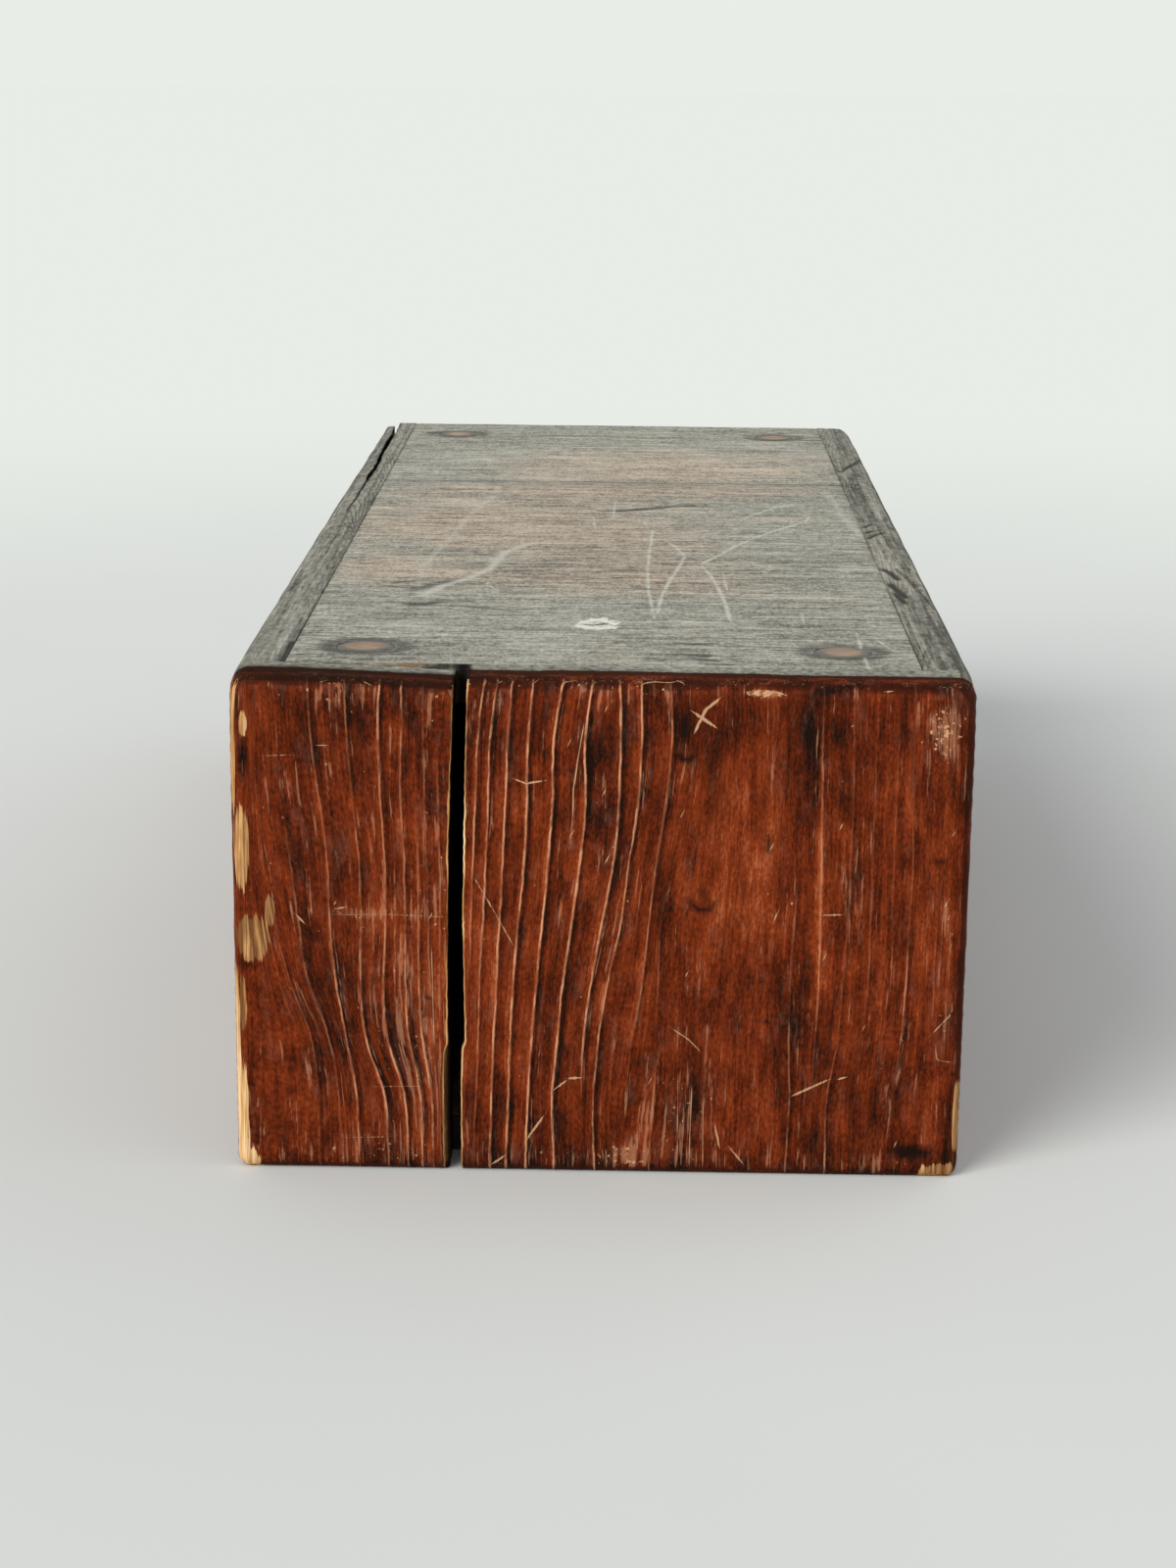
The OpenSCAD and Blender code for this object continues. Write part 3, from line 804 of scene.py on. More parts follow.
def front_marks(points, facing):
    """Fields of the marks on the front face, also where it runs onto the side boards."""
    x, z = points[:, 0], points[:, 2]
    ahead = ease(-facing[:, 1], 0.05, 0.6)
    on_front = ahead > 0.2
    climb = z + np.clip(points[:, 1] + HALF_L, 0, LIP_REACH)
    fields = stroke_fields((*FRONT_SCRATCHES, *chip_strokes()), x, climb)
    for layer in range(STROKE_LAYERS):
        fields[f"width_{layer}"] = np.where(on_front, fields[f"width_{layer}"], -1.0)
    bare, fields["pale"] = patches(FRONT_BARE, x, z)
    fields["bare"] = np.where(on_front, bare, -1.0)
    fields["mark"] = soft_strokes(FRONT_DENTS, x, z) * ahead
    rounding = np.clip(-2 * facing[:, 1] * facing[:, 2], 0, 1)
    mottled = 1.3 * rounding * rough(points, (6, 3, 3), LIP_SEED + 16)
    fields["tone"] = spots(FRONT_TONES, x, z) * ahead + mottled
    rubbed = rounding * (0.2 + 1.1 * rough(points, (5, 3, 3), LIP_SEED + 12))
    fields["chipped"] = spots(FRONT_SPECKLED, x, z) * ahead + rubbed
    return fields


def column_lines(table):
    """Lattice columns that crowd together at the grain lines."""
    columns = [0.0]
    for k, gap in enumerate(np.diff(table.mean(axis=1))):
        count = max(3, math.ceil(gap / FRONT_COLUMN))
        share = np.arange(1, count + 1) / count
        columns.extend(k + (1 - np.cos(math.pi * share)) / 2)
    return np.array(columns)


def grain_table(lines, edges, heights, seed):
    """x of each edge and grain line at each height, and how bright it is there."""
    wander = on_line(heights)
    rows = [edges[0](heights)]
    bright = [np.zeros(len(heights))]
    for k, (xs, digits) in enumerate(lines):
        rows.append(curve_through(LINE_HEIGHTS, xs, heights) + 0.14 * rough(wander, 9, seed + 20 * k))
        bright.append(curve_through(LINE_HEIGHTS, [int(digit) / 9 for digit in digits], heights))
    rows.append(edges[1](heights))
    bright.append(np.zeros(len(heights)))
    return np.maximum.accumulate(np.array(rows), axis=0), np.array(bright)


def front_lattice(lines, edges, seed):
    """Points and quads of a front piece drawn along its grain, and what each point knows of the grain."""
    heights = axis((0, 4, 0.4), (4, 122, 1.0), (122, BODY_H, 0.5))
    depths = axis((-HALF_L, 7 - HALF_L, 0.5), (7 - HALF_L, FRONT_Y, 1.0))
    table, bright = grain_table(lines, edges, heights, seed)
    lattice, quads = skin((column_lines(table), depths, heights), everywhere)
    column, y, z = lattice.T
    row = np.searchsorted(heights, z - 1e-6)
    low = np.minimum(column.astype(int), len(table) - 2)
    share = column - low
    x = table[low, row] * (1 - share) + table[low + 1, row] * share
    gap = table[low + 1, row] - table[low, row]
    gain = bright[low, row] * (1 - share) + bright[low + 1, row] * share
    nearest = np.where(share < 0.5, low, low + 1)
    grain = SimpleNamespace(
        column=column,
        last=len(table) - 1,
        gap=gap,
        gain=np.clip(gain, 0, 1),
        across=np.interp(column, np.arange(len(table)), table.mean(axis=1)),
        from_line=np.where(share < 0.5, share, share - 1) * gap,
        line_gain=np.clip(bright[nearest, row], 0, 1),
        from_left=np.abs(x - table[0, row]),
        from_right=np.abs(x - table[-1, row]),
    )
    return joined(x, y, z), quads, grain


def chip_split(points, grain):
    """Moves the foot of the left piece's split edge to the right, behind the front face."""
    at_split = ease(grain.column, grain.last - 1, grain.last)
    below = 1 - ease(points[:, 2], SPLIT_CHIP_Z - 1.5, SPLIT_CHIP_Z + 1.5)
    points[:, 0] += SPLIT_CHIP_W * at_split * below * ease(points[:, 1] + HALF_L, 0.5, 4.0)


def front_relief(places, points, facing, grain, seed):
    """Raises a front piece's grain between hollows, and gives how far points belong to its front."""
    height = RIDGE_H * grain.line_gain * bell(grain.from_line, 0.5)
    hollow = 0.5 * RIDGE_H * grain.line_gain * bell(grain.from_line - 1.3, 0.8)
    depth, front = set_back(points, facing)
    places[:, 1] += depth + (hollow - height) * front
    on_top = np.clip(facing[:, 2], 0, 1) * ease(points[:, 2], BODY_H - 4, BODY_H)
    places[:, 2] -= (0.15 + 0.12 * rough(points, (3, 3, 3), seed + 4)) * on_top
    return front


def front_fields(points, facing, front, grain, side, seed):
    """Fields of a front piece: its grain, its marks, the worn lip and the wood at the split."""
    fields = wear_fields(points, facing, seed)
    marks = front_marks(points, facing)
    fields["tone"] = fields["tone"] + marks.pop("tone")
    fields.update(marks)
    wear_lip(fields, points)
    fields["ring"] = grain.column
    fields["pitch"] = grain.gap
    fields["gain"] = grain.gain * (1 - ease(facing[:, 2], 0.75, 0.95))
    fields["fibre"] = joined(grain.across, points[:, 1], points[:, 2] * GRAIN_STRETCH)
    from_split = grain.from_right if side == "left" else grain.from_left
    bareness, paleness, wall_shade = SPLIT_WOOD[side]
    sliver = 0.7 - from_split / 0.5 + 0.5 * rough(points, (4, 4, 5), seed + 9)
    fields["bare"] = np.maximum(fields["bare"], np.where(front > 0.3, sliver * bareness, -1))
    fields["pale"] = np.where(from_split < 1.5, paleness, fields["pale"])
    # Painted shade on the wall of the split, behind the front face.
    in_split = ease(0.3 - from_split, 0, 0.2) * ease(points[:, 1] + HALF_L, 0.5, 3.0)
    fields["painted_shade"] = in_split * wall_shade
    return fields


def front_piece(side, lines, edges, material):
    """One piece of the front board. The left one is chipped at the split and has dropped there."""
    seed = FRONT_SEEDS[side]
    points, quads, grain = front_lattice(lines, edges, seed)
    if side == "left":
        chip_split(points, grain)
    places, facing = worn(points)
    if side == "left":
        towards_split = np.clip((points[:, 0] - LEFT_DROP_START) / LEFT_DROP_RUN, 0, 1) ** 1.5
        places[:, 2] -= LEFT_DROP * towards_split * ease(points[:, 2], LEFT_DROP_FOOT, BODY_H)
    front = front_relief(places, points, facing, grain, seed)
    fields = front_fields(points, facing, front, grain, side, seed)
    make_piece(f"front_board_{side}", "box", places, quads, fields, material)


def make_front(material):
    """Both pieces of the front board, each between a side board and the split."""
    def straight(x):
        return lambda z: np.full(len(z), x)

    def split(route, side):
        return lambda z: ragged_edge(route, z, SPLIT_SEEDS[side])

    front_piece("left", LEFT_LINES, (straight(-END_X), split(SPLIT_LEFT, "left")), material)
    front_piece("right", RIGHT_LINES, (split(SPLIT_RIGHT, "right"), straight(END_X)), material)


# Side boards

def nail_places(node):
    """y of a row of end nails, their heights and the radius of their heads."""
    low, high = node_box(node)
    radius = (high[1] - low[1]) / 2
    return (low[1] + high[1]) / 2, np.linspace(low[2] + radius, high[2] - radius, NAIL_COUNT), radius


END_NAILS = [nail_places("front_nails"), nail_places("back_nails")]
NAIL_HOLES = [(nail_y, height) for nail_y, heights, _ in END_NAILS for height in heights]
NAIL_TOP_X = node_box("front_nails")[1][0]
NAIL_HOLE_R = END_NAILS[0][2] + FIXING_GAP
NAIL_HOLE_X = NAIL_TOP_X - NAIL_HEAD_T - FIXING_GAP


def side_solid(x, y, z):
    """Wood of a side board: rabbets for the ends and the bottom, the lid's groove and the nail holes."""
    x = np.abs(x)
    wood = np.ones(x.shape, bool)
    wood &= ~((x < RABBET_X) & (y < FRONT_Y))
    wood &= ~((x < RABBET_X) & (y > BACK_Y) & (z < LID_Z))
    wood &= ~((x < RABBET_X) & (z < BOTTOM_T))
    wood &= ~((x < GROOVE_X) & (z > LID_Z) & (z < GROOVE_TOP) & (y > FRONT_Y))
    for nail_y, height in NAIL_HOLES:
        in_hole = np.maximum(np.abs(y - nail_y), np.abs(z - height)) < NAIL_HOLE_R
        wood &= ~(in_hole & (x > NAIL_HOLE_X))
    return wood


def cracked_solid(x, y, z):
    """Wood of the left side board, with the cells of the crack left out."""
    in_crack = (x > CRACK_CELL[0]) & (x < CRACK_CELL[1]) & (z > CRACK_FOOT) & (y > CRACK_START)
    return side_solid(x, y, z) & ~in_crack


def crack_edges(y, z):
    """x of both edges of the crack, which close into its lattice cell at its foot and its start."""
    torn = on_line(y)
    middle = np.interp(y, [p[1] for p in CRACK], [p[0] for p in CRACK])
    middle += 0.5 * rough(torn, 18, CRACK_SEED)
    width = 0.2 + CRACK_W * (0.8 * ease(y, CRACK_START + 20, 120) + 0.2 * ease(y, 120, HALF_L))
    width *= 1 + 0.35 * rough(torn, 9, CRACK_SEED + 2)
    width = np.where((y > CRACK_START) & (z >= CRACK_FOOT), width, 1.0)
    shift = ease(z, CRACK_FOOT - 12, CRACK_FOOT) * ease(y, CRACK_START - 20, CRACK_START)
    left = CRACK_CELL[0] + shift * (middle - width / 2 - CRACK_CELL[0])
    right = CRACK_CELL[1] + shift * (middle + width / 2 - CRACK_CELL[1])
    return left, right


def open_crack(points):
    """Moves the lattice columns at the crack to its edges, and lowers the sliver outside it."""
    x, y, z = points.T
    left, right = crack_edges(y, z)
    outer, inner = -HALF_W, -INNER_X - 2
    cell_left, cell_right = CRACK_CELL
    share_out = np.clip((x - outer) / (cell_left - outer), 0, 1)
    share_in = np.clip((x - cell_right) / (inner - cell_right), 0, 1)
    moved = np.where(x <= cell_left, outer + share_out * (left - outer), x)
    moved = np.where((x >= cell_right) & (x <= inner), right + share_in * (inner - right), moved)
    sliver = x < (cell_left + cell_right) / 2
    drop = SLIVER_DROP * ease(y, CRACK_START, HALF_L) * ease(z, CRACK_FOOT, BODY_H) * sliver
    return joined(moved, y, z - drop)


def side_axes(sign):
    """Lattice lines of a side board, closer together at its edges and nail holes and the crack."""
    if sign < 0:
        xs = axis(
            (-HALF_W, CRACK_CELL[0], 0.4), (CRACK_CELL[1], -GROOVE_X, 0.7), (-GROOVE_X, -INNER_X, 0.8),
            marks=(-NAIL_HOLE_X, -RABBET_X)
        )
    else:
        xs = axis(
            (INNER_X, GROOVE_X, 0.8), (GROOVE_X, RABBET_X, 0.8), (RABBET_X, HALF_W, 0.4),
            marks=(NAIL_HOLE_X,)
        )
    ys = axis(
        (-HALF_L, EDGE_ZONE - HALF_L, EDGE_STEP), (EDGE_ZONE - HALF_L, FRONT_Y, 1.5),
        (FRONT_Y, BACK_Y, 1.9),
        (BACK_Y, HALF_L - EDGE_ZONE, 1.5), (HALF_L - EDGE_ZONE, HALF_L, EDGE_STEP),
        marks=hole_marks([nail_y for nail_y, _ in NAIL_HOLES], NAIL_HOLE_R)
    )
    zs = axis(
        (0, EDGE_ZONE, EDGE_STEP), (EDGE_ZONE, BOTTOM_T, 1.2), (BOTTOM_T, LID_Z, 1.9),
        (LID_Z, GROOVE_TOP, 1.2), (GROOVE_TOP, BODY_H, EDGE_STEP),
        marks=hole_marks([height for _, height in NAIL_HOLES], NAIL_HOLE_R)
    )
    return xs, ys, zs


def side_grain(points, facing, sign, seed):
    """Fields of a side board's grain, which runs in arches on its top, and up its front end."""
    x, y, z = points.T
    drift = 9 * noise(points, (200, 170, 200), seed) + 2.5 * noise(points, (60, 45, 60), seed + 1)
    heart = np.hypot(np.abs(x) - HALF_W + SIDE_HEART_IN, z - SIDE_HEART_UP - drift)
    lines = growth_lines(heart + SIDE_SLANT * y, SIDE_PITCH)
    arches = arched_lines(np.abs(x), y, seed)
    up = facing[:, 2] > 0.8
    fields = {key: np.where(up, arches[key], lines[key]) for key in lines}
    ahead = ease(-facing[:, 1], 0.1, 0.5)
    side_out = np.clip(facing[:, 0] * sign, 0, 1)
    gain = np.clip(0.42 + 0.4 * rough(points, (25, 70, 25), seed + 4), 0, 1) * (0.4 + 0.6 * side_out)
    top_gain = SIDE_TOP_GAIN[sign] + 0.8 * rough(points, (20, 40, 20), seed + 6)
    fields["gain"] = np.where(up, np.clip(top_gain, 0, 1), gain) * (1 - ahead)
    along_side = joined(z, x, y * GRAIN_STRETCH)
    up_front = joined(x, y, z * GRAIN_STRETCH)
    fields["fibre"] = np.where(ahead[:, None] > 0.5, up_front, along_side)
    return fields


def side_relief(places, points, facing, sign, ridge, gouges, seed):
    """Sinks a side board between its growth lines and in its gouges, and closes its seam with the lid."""
    x, y, z = points.T
    at_seam = (np.abs(x) < INNER_X + 0.05) & (z > GROOVE_TOP - 0.05)
    places[:, 0] -= sign * SEAM_CLOSE * at_seam * (0.6 + 0.9 * ease(y, -140, -80))
    sunk = 0.26 - 0.16 * ridge * (facing[:, 1] > -0.2) + 0.06 * rough(points, (6, 30, 6), seed + 2)
    side_out = np.clip(facing[:, 0] * sign, 0, 1)
    places[:, 0] -= sign * sunk * side_out * ease(-skin_depth(points), -1.5, 0)
    on_top = np.clip(facing[:, 2], 0, 1) * ease(z, BODY_H - 3, BODY_H)
    pitted = 0.08 * rough(points, (4, 18, 4), seed + 3)
    places[:, 2] -= on_top * (0.24 - 0.15 * ridge + 0.5 * gouges + pitted)
    places[:, 1] += set_back(points, facing)[0]


def side_marks(fields, points, facing, sign, gouges, seed):
    """Adds strewn scratches, rubbed edges, gouges and the front face's marks to a side board's fields."""
    x, y, z = points.T
    side_out = np.clip(facing[:, 0] * sign, 0, 1)
    marks = front_marks(points, facing)
    strewn = strewn_strokes(seed + 8, count=30, low=(-222, 6), high=(222, 122), lengths=(2, 22))
    for key, values in stroke_fields(strewn, y, z).items():
        marks[key] = np.where(side_out > 0.5, values, marks[key])
    to_end = np.minimum(HALF_L - np.abs(y), np.minimum(BODY_H - z, z))
    edge_gap = np.hypot(np.maximum(0, HALF_W - np.abs(x)), to_end)
    rubbed = 0.1 - edge_gap / 4.5 + 0.8 * rough(points, (16, 26, 16), seed + 12)
    at_edge = (side_out > 0.3) & (y > 8 - HALF_L) & (z < BODY_H - 6)
    marks["bare"] = np.maximum(marks["bare"], np.where(at_edge, rubbed, -1))
    marks["mark"] = np.maximum(marks["mark"], gouges * (facing[:, 2] > 0.6))
    marks["tone"] = fields["tone"] + marks["tone"] - (facing[:, 2] > 0.8) * SIDE_TOP_SHADE[sign]
    fields.update(marks)
    wear_lip(fields, points)


def crack_shade(points):
    """Painted shade on the walls of the crack."""
    x, y, z = points.T
    at_crack = (np.abs(x - CRACK_CELL[0]) < 1e-3) | (np.abs(x - CRACK_CELL[1]) < 1e-3)
    at_crack &= (z > CRACK_FOOT) & (y > CRACK_START)
    return at_crack * ease(BODY_H - z, -1.2, 0.8)


def side_board(side, sign, material):
    """One side board. The left one, with sign -1, has the crack."""
    seed = SIDE_SEEDS[sign]
    points, quads = skin(side_axes(sign), cracked_solid if sign < 0 else side_solid)
    for place in NAIL_HOLES:
        round_hole(points, 1, 2, place, NAIL_HOLE_R)
    places, facing = worn(points)
    if sign < 0:
        places = open_crack(places)
    fields = wear_fields(points, facing, seed)
    fields.update(side_grain(points, facing, sign, seed))
    gouge_strokes = [stroke for board, *stroke in SIDE_TOP_MARKS if board == sign]
    gouges = soft_strokes(gouge_strokes, points[:, 0], points[:, 1])
    side_relief(places, points, facing, sign, ridges(fields), gouges, seed)
    side_marks(fields, points, facing, sign, gouges, seed)
    if sign < 0:
        fields["painted_shade"] = crack_shade(points)
    make_piece(f"{side}_side_board", "box", places, quads, fields, material)


# Back board

def back_solid(x, y, z):
    """Wood of the back board, notched for the battens."""
    wood = np.ones(x.shape, bool)
    for low, high in BATTENS:
        wood &= ~((x > low[0] - LID_PLAY) & (x < high[0] + LID_PLAY) & (z > low[2] - LID_PLAY))
    return wood


def back_lattice():
    """Points and quads of the back board."""
    notch_x = [edge for low, high in BATTENS for edge in (low[0] - LID_PLAY, high[0] + LID_PLAY)]
    notch_z = BATTENS[0][0][2] - LID_PLAY
    xs = axis((-END_X, END_X, 1.5), marks=notch_x)
    ys = axis((BACK_Y, HALF_L - EDGE_ZONE, 2.2), (HALF_L - EDGE_ZONE, HALF_L, EDGE_STEP))
    zs = axis((0, EDGE_ZONE, EDGE_STEP), (EDGE_ZONE, notch_z, 1.8), (notch_z, BACK_H, 0.7))
    return skin((xs, ys, zs), back_solid)


def back_board(material):
    """Low board at the back, with upright grain."""
    seed = BACK_SEED
    points, quads = back_lattice()
    places, facing = worn(points)
    x, y, z = points.T
    behind = np.clip(facing[:, 1], 0, 1)
    drift = 10 * noise(points, (80, 80, 120), seed) + 3 * noise(points, (30, 30, 50), seed + 1)
    heart = np.hypot(x - BACK_HEART_X - drift, y - HALF_L + BACK_HEART_IN)
    fields = wear_fields(points, facing, seed)
    fields.update(growth_lines(heart + BACK_SLANT * z, BACK_PITCH))
    sunk = 0.32 - 0.24 * ridges(fields) + 0.1 * rough(points, (8, 8, 30), seed + 2)
    places[:, 1] -= sunk * behind * ease(y, HALF_L - 3, HALF_L)
    strewn = strewn_strokes(seed + 3, count=14, low=(-80, 6), high=(80, 108), lengths=(2, 18))
    fields.update(stroke_fields(strewn, x, z))
    edge_gap = np.minimum(z, END_X + 3 - np.abs(x))
    rubbed = 0.45 - edge_gap / 4 + 0.75 * rough(points, (20, 20, 16), seed + 5)
    fields["bare"] = np.where(behind > 0.3, rubbed, -1)
    fields["mark"] = np.zeros(len(points))
    fields["gain"] = np.clip(0.5 + 0.45 * rough(points, (25, 25, 60), seed + 4), 0, 1)
    fields["fibre"] = joined(x, y, z * GRAIN_STRETCH)
    make_piece("back_board", "box", places, quads, fields, material)


# Lid

PLUG_HOLE_R = PLUG_R + FIXING_GAP
TONGUE_LOW, TONGUE_HIGH = SEAM_TONGUE_Z, SEAM_TONGUE_Z + SEAM_TONGUE_T
SEAM_GROOVE_W = SEAM_TONGUE_W + JOINT_GAP


def lid_solid(number):
    """Wood of one lid board: side tongues, a tongue and groove to its neighbours and the plug holes."""
    start, stop = LID_JOINTS[number:number + 2]

    def solid(x, y, z):
        x = np.abs(x)
        wood = (x < LID_TOP_X) | (z < LID_Z + TONGUE_T)
        wood &= (y < stop) | ((z > TONGUE_LOW) & (z < TONGUE_HIGH) & (x < LID_TOP_X))
        if number > 0:
            in_groove = (z > TONGUE_LOW - JOINT_GAP) & (z < TONGUE_HIGH + JOINT_GAP)
            wood &= ~(in_groove & (y < start + SEAM_GROOVE_W))
        for plug_x, plug_y in PLUG_PLACES:
            in_hole = np.maximum(np.abs(x - abs(plug_x)), np.abs(y - plug_y)) < PLUG_HOLE_R
            wood &= ~(in_hole & (z > PLUGS_LOW[2]))
        return wood

    return solid


def lid_axes(number):
    """Lattice lines of a lid board, closer together at its ends and plug holes."""
    start, stop = LID_JOINTS[number:number + 2]
    groove_end = start + SEAM_GROOVE_W
    y_marks = hole_marks([y for y in PLUG_YS if start < y < stop], PLUG_HOLE_R)
    x_marks = hole_marks((-PLUG_X, PLUG_X), PLUG_HOLE_R) if y_marks else ()
    xs = axis(
        (-TONGUE_X, -LID_TOP_X, 1.3), (-LID_TOP_X, LID_TOP_X, 1.15), (LID_TOP_X, TONGUE_X, 1.3),
        marks=x_marks
    )
    if stop == LID_JOINTS[-1]:
        rest = ((groove_end, stop - EDGE_ZONE, 1.15), (stop - EDGE_ZONE, stop, EDGE_STEP))
    else:
        rest = ((groove_end, stop, 1.15), (stop, stop + SEAM_TONGUE_W, 1.5))
    ys = axis((start, groove_end, 0.9), *rest, marks=y_marks)
    zs = axis(
        (LID_Z, TONGUE_LOW - JOINT_GAP, 1.2), (TONGUE_LOW, LID_Z + TONGUE_T, 1.2),
        (LID_Z + TONGUE_T, PLUGS_LOW[2], 1.2), (TONGUE_HIGH + JOINT_GAP, BODY_H, 0.7),
        marks=(TONGUE_LOW,)
    )
    return xs, ys, zs


def lid_grain(points, number, seed):
    """Growth lines of a lid board, and fields of its grain."""
    x, y, z = points.T
    middle = (LID_JOINTS[number] + LID_JOINTS[number + 1]) / 2
    drift = 9 * noise(points, (140, 60, 60), seed) + 3 * noise(points, (50, 25, 25), seed + 1)
    heart = np.hypot(y - middle - drift, z - BODY_H + LID_HEART_DOWN)
    fields = growth_lines(heart, LID_PITCH)
    fields["gain"] = np.clip(0.3 + 0.5 * rough(points, (90, 20, 20), seed + 5), 0, 1)
    fields["fibre"] = joined(y, z, x * LID_STRETCH)
    return fields


def plug_gap(x, y, widen=1.0):
    """Distance from the rim of the nearest plug, with the plugs' surrounds widened across the box."""
    return np.min([np.hypot((x - px) / widen, y - py) for px, py in PLUG_PLACES], axis=0) - PLUG_R


def lid_relief(places, points, ridge, edge, scuffs, seed):
    """Sinks a lid board's top between growth lines, at edges and marks, and round the plugs."""
    x, y, z = points.T
    grain = 0.10 * rough(points, (24, 2.2, 5), seed + 2)
    dish = 0.35 * bell(plug_gap(x, y), 5)
    arris = 0.12 * np.exp(-np.maximum(edge, 0) / 0.8)
    sunk = 0.28 - 0.10 * ridge + grain + dish + 0.3 * scuffs + arris
    places[:, 2] -= ease(z, BODY_H - 2.5, BODY_H) * sunk


def lid_marks(fields, points, edge, seed):
    """Adds scratches, streaks, warmth, stains, paint and dirt to a lid board's fields."""
    x, y, _ = points.T
    fields.update(stroke_fields(LID_SCRATCHES, x, y))
    fields["streak"] = soft_strokes(LID_STREAKS, x, y)
    fields["tone"] = fields["tone"] + spots(LID_TONES, x, y)
    fields["warm"] = spots(LID_WARMTH, x, y) + 0.25 * rough(points, (45, 14, 20), seed + 3)
    stained = 0.85 + 0.4 * rough(points, (10, 6, 6), seed + 4)
    fields["halo"] = bell(plug_gap(x, y, HALO_WIDEN) - 0.6, 2.6) * stained
    (spot_x, spot_y), (reach_x, reach_y) = PAINT_SPOT, PAINT_SPOT_REACH
    fields["paint"] = 1 - np.hypot((x - spot_x) / reach_x, (y - spot_y) / reach_y)
    seam_dirt = np.clip(0.15 + 0.6 * rough(points, (30, 30, 30), seed + 7), 0, 0.8)
    seam_y = LID_JOINTS[2]
    fields["grime"] = np.exp(-np.abs(y - seam_y) / 1.1) * 0.7
    fields["grime"] += np.exp(-np.maximum(edge, 0) / 0.6) * seam_dirt
    fields["grime"] += 0.28 * ease(y, 60, seam_y) * (y < seam_y)


def lid_front_edge(fields, points, seed):
    """Torn wood on the strip of the lid's front edge that shows over the dropped piece, with painted
    shade at the split and wherever it is not torn.
    """
    x, y, _ = points.T
    at_front = y < LID_JOINTS[0] + 0.05
    low_left = ease(x, -76, -70) * ease(-x, 36.5, 37.5)
    torn = low_left - 0.95 + 0.9 * rough(points, (5, 5, 2), seed + 8)
    fields["bare"] = np.where(at_front, torn, -1.0)
    # Painted shade on the front edge: at the split, and where the wood is not torn.
    at_split = np.exp(-(((x - SPLIT_MIDDLE_X) / 2.4) ** 4))
    fields["painted_shade"] = np.where(at_front, np.maximum(at_split, 0.75 * ease(0.15 - torn, 0, 0.3)), 0.0)


def lid_board(number, part, material):
    """One board of the lid, with its grain across the box."""
    points, quads = skin(lid_axes(number), lid_solid(number))
    for place in PLUG_PLACES:
        round_hole(points, 0, 1, place, PLUG_HOLE_R)
    x, y, _ = points.T
    seed = LID_SEED + LID_SEED_STEP * number
    places, facing = worn(points)
    edge = np.minimum(LID_TOP_X - np.abs(x), y - LID_JOINTS[0])
    fields = wear_fields(points, facing, seed)
    fields.update(lid_grain(points, number, seed))
    fields["mark"] = soft_strokes(LID_MARKS, x, y)
    lid_relief(places, points, ridges(fields), edge, fields["mark"], seed)
    lid_marks(fields, points, edge, seed)
    lid_front_edge(fields, points, seed)
    make_piece(f"lid_board_{part}", "lid", places, quads, fields, material)


def plug(number):
    """Points and quads of one plug, a square lattice drawn into a disc, and their share of its radius."""
    lines = axis((-PLUG_R, PLUG_R, 0.6))
    heights = axis((PLUGS_LOW[2], BODY_H - 1, 1.3), (BODY_H - 1, BODY_H, 0.33))
    points, quads = skin((lines, lines, heights), everywhere)
    square = np.maximum(np.abs(points[:, 0]), np.abs(points[:, 1]))
    circle = np.maximum(np.hypot(points[:, 0], points[:, 1]), TINY)
    points[:, :2] *= (square / circle)[:, None]
    rim = ease(square, PLUG_R - 1.6, PLUG_R)
    pitted = 0.16 * rough(points + 40 * number, (5, 1.6, 5), PLUG_SEED)
    points[:, 2] -= ease(points[:, 2], BODY_H - 1.2, BODY_H) * (0.4 + 0.45 * rim ** 2 + pitted)
    return points + (*PLUG_PLACES[number], 0), quads, square / PLUG_R


def lid_plugs(material):
    """Four round plugs with worn rims."""
    plugs = [plug(number) for number in range(len(PLUG_PLACES))]
    points = np.concatenate([places for places, _, _ in plugs])
    quads = np.concatenate([faces + k * len(places) for k, (places, faces, _) in enumerate(plugs)])
    fields = {
        "rim": np.concatenate([rim for _, _, rim in plugs]),
        "fibre": joined(points[:, 1], points[:, 2], points[:, 0] * PLUG_STRETCH),
    }
    make_piece("lid_plugs", "lid", points, quads, fields, material)


# Materials

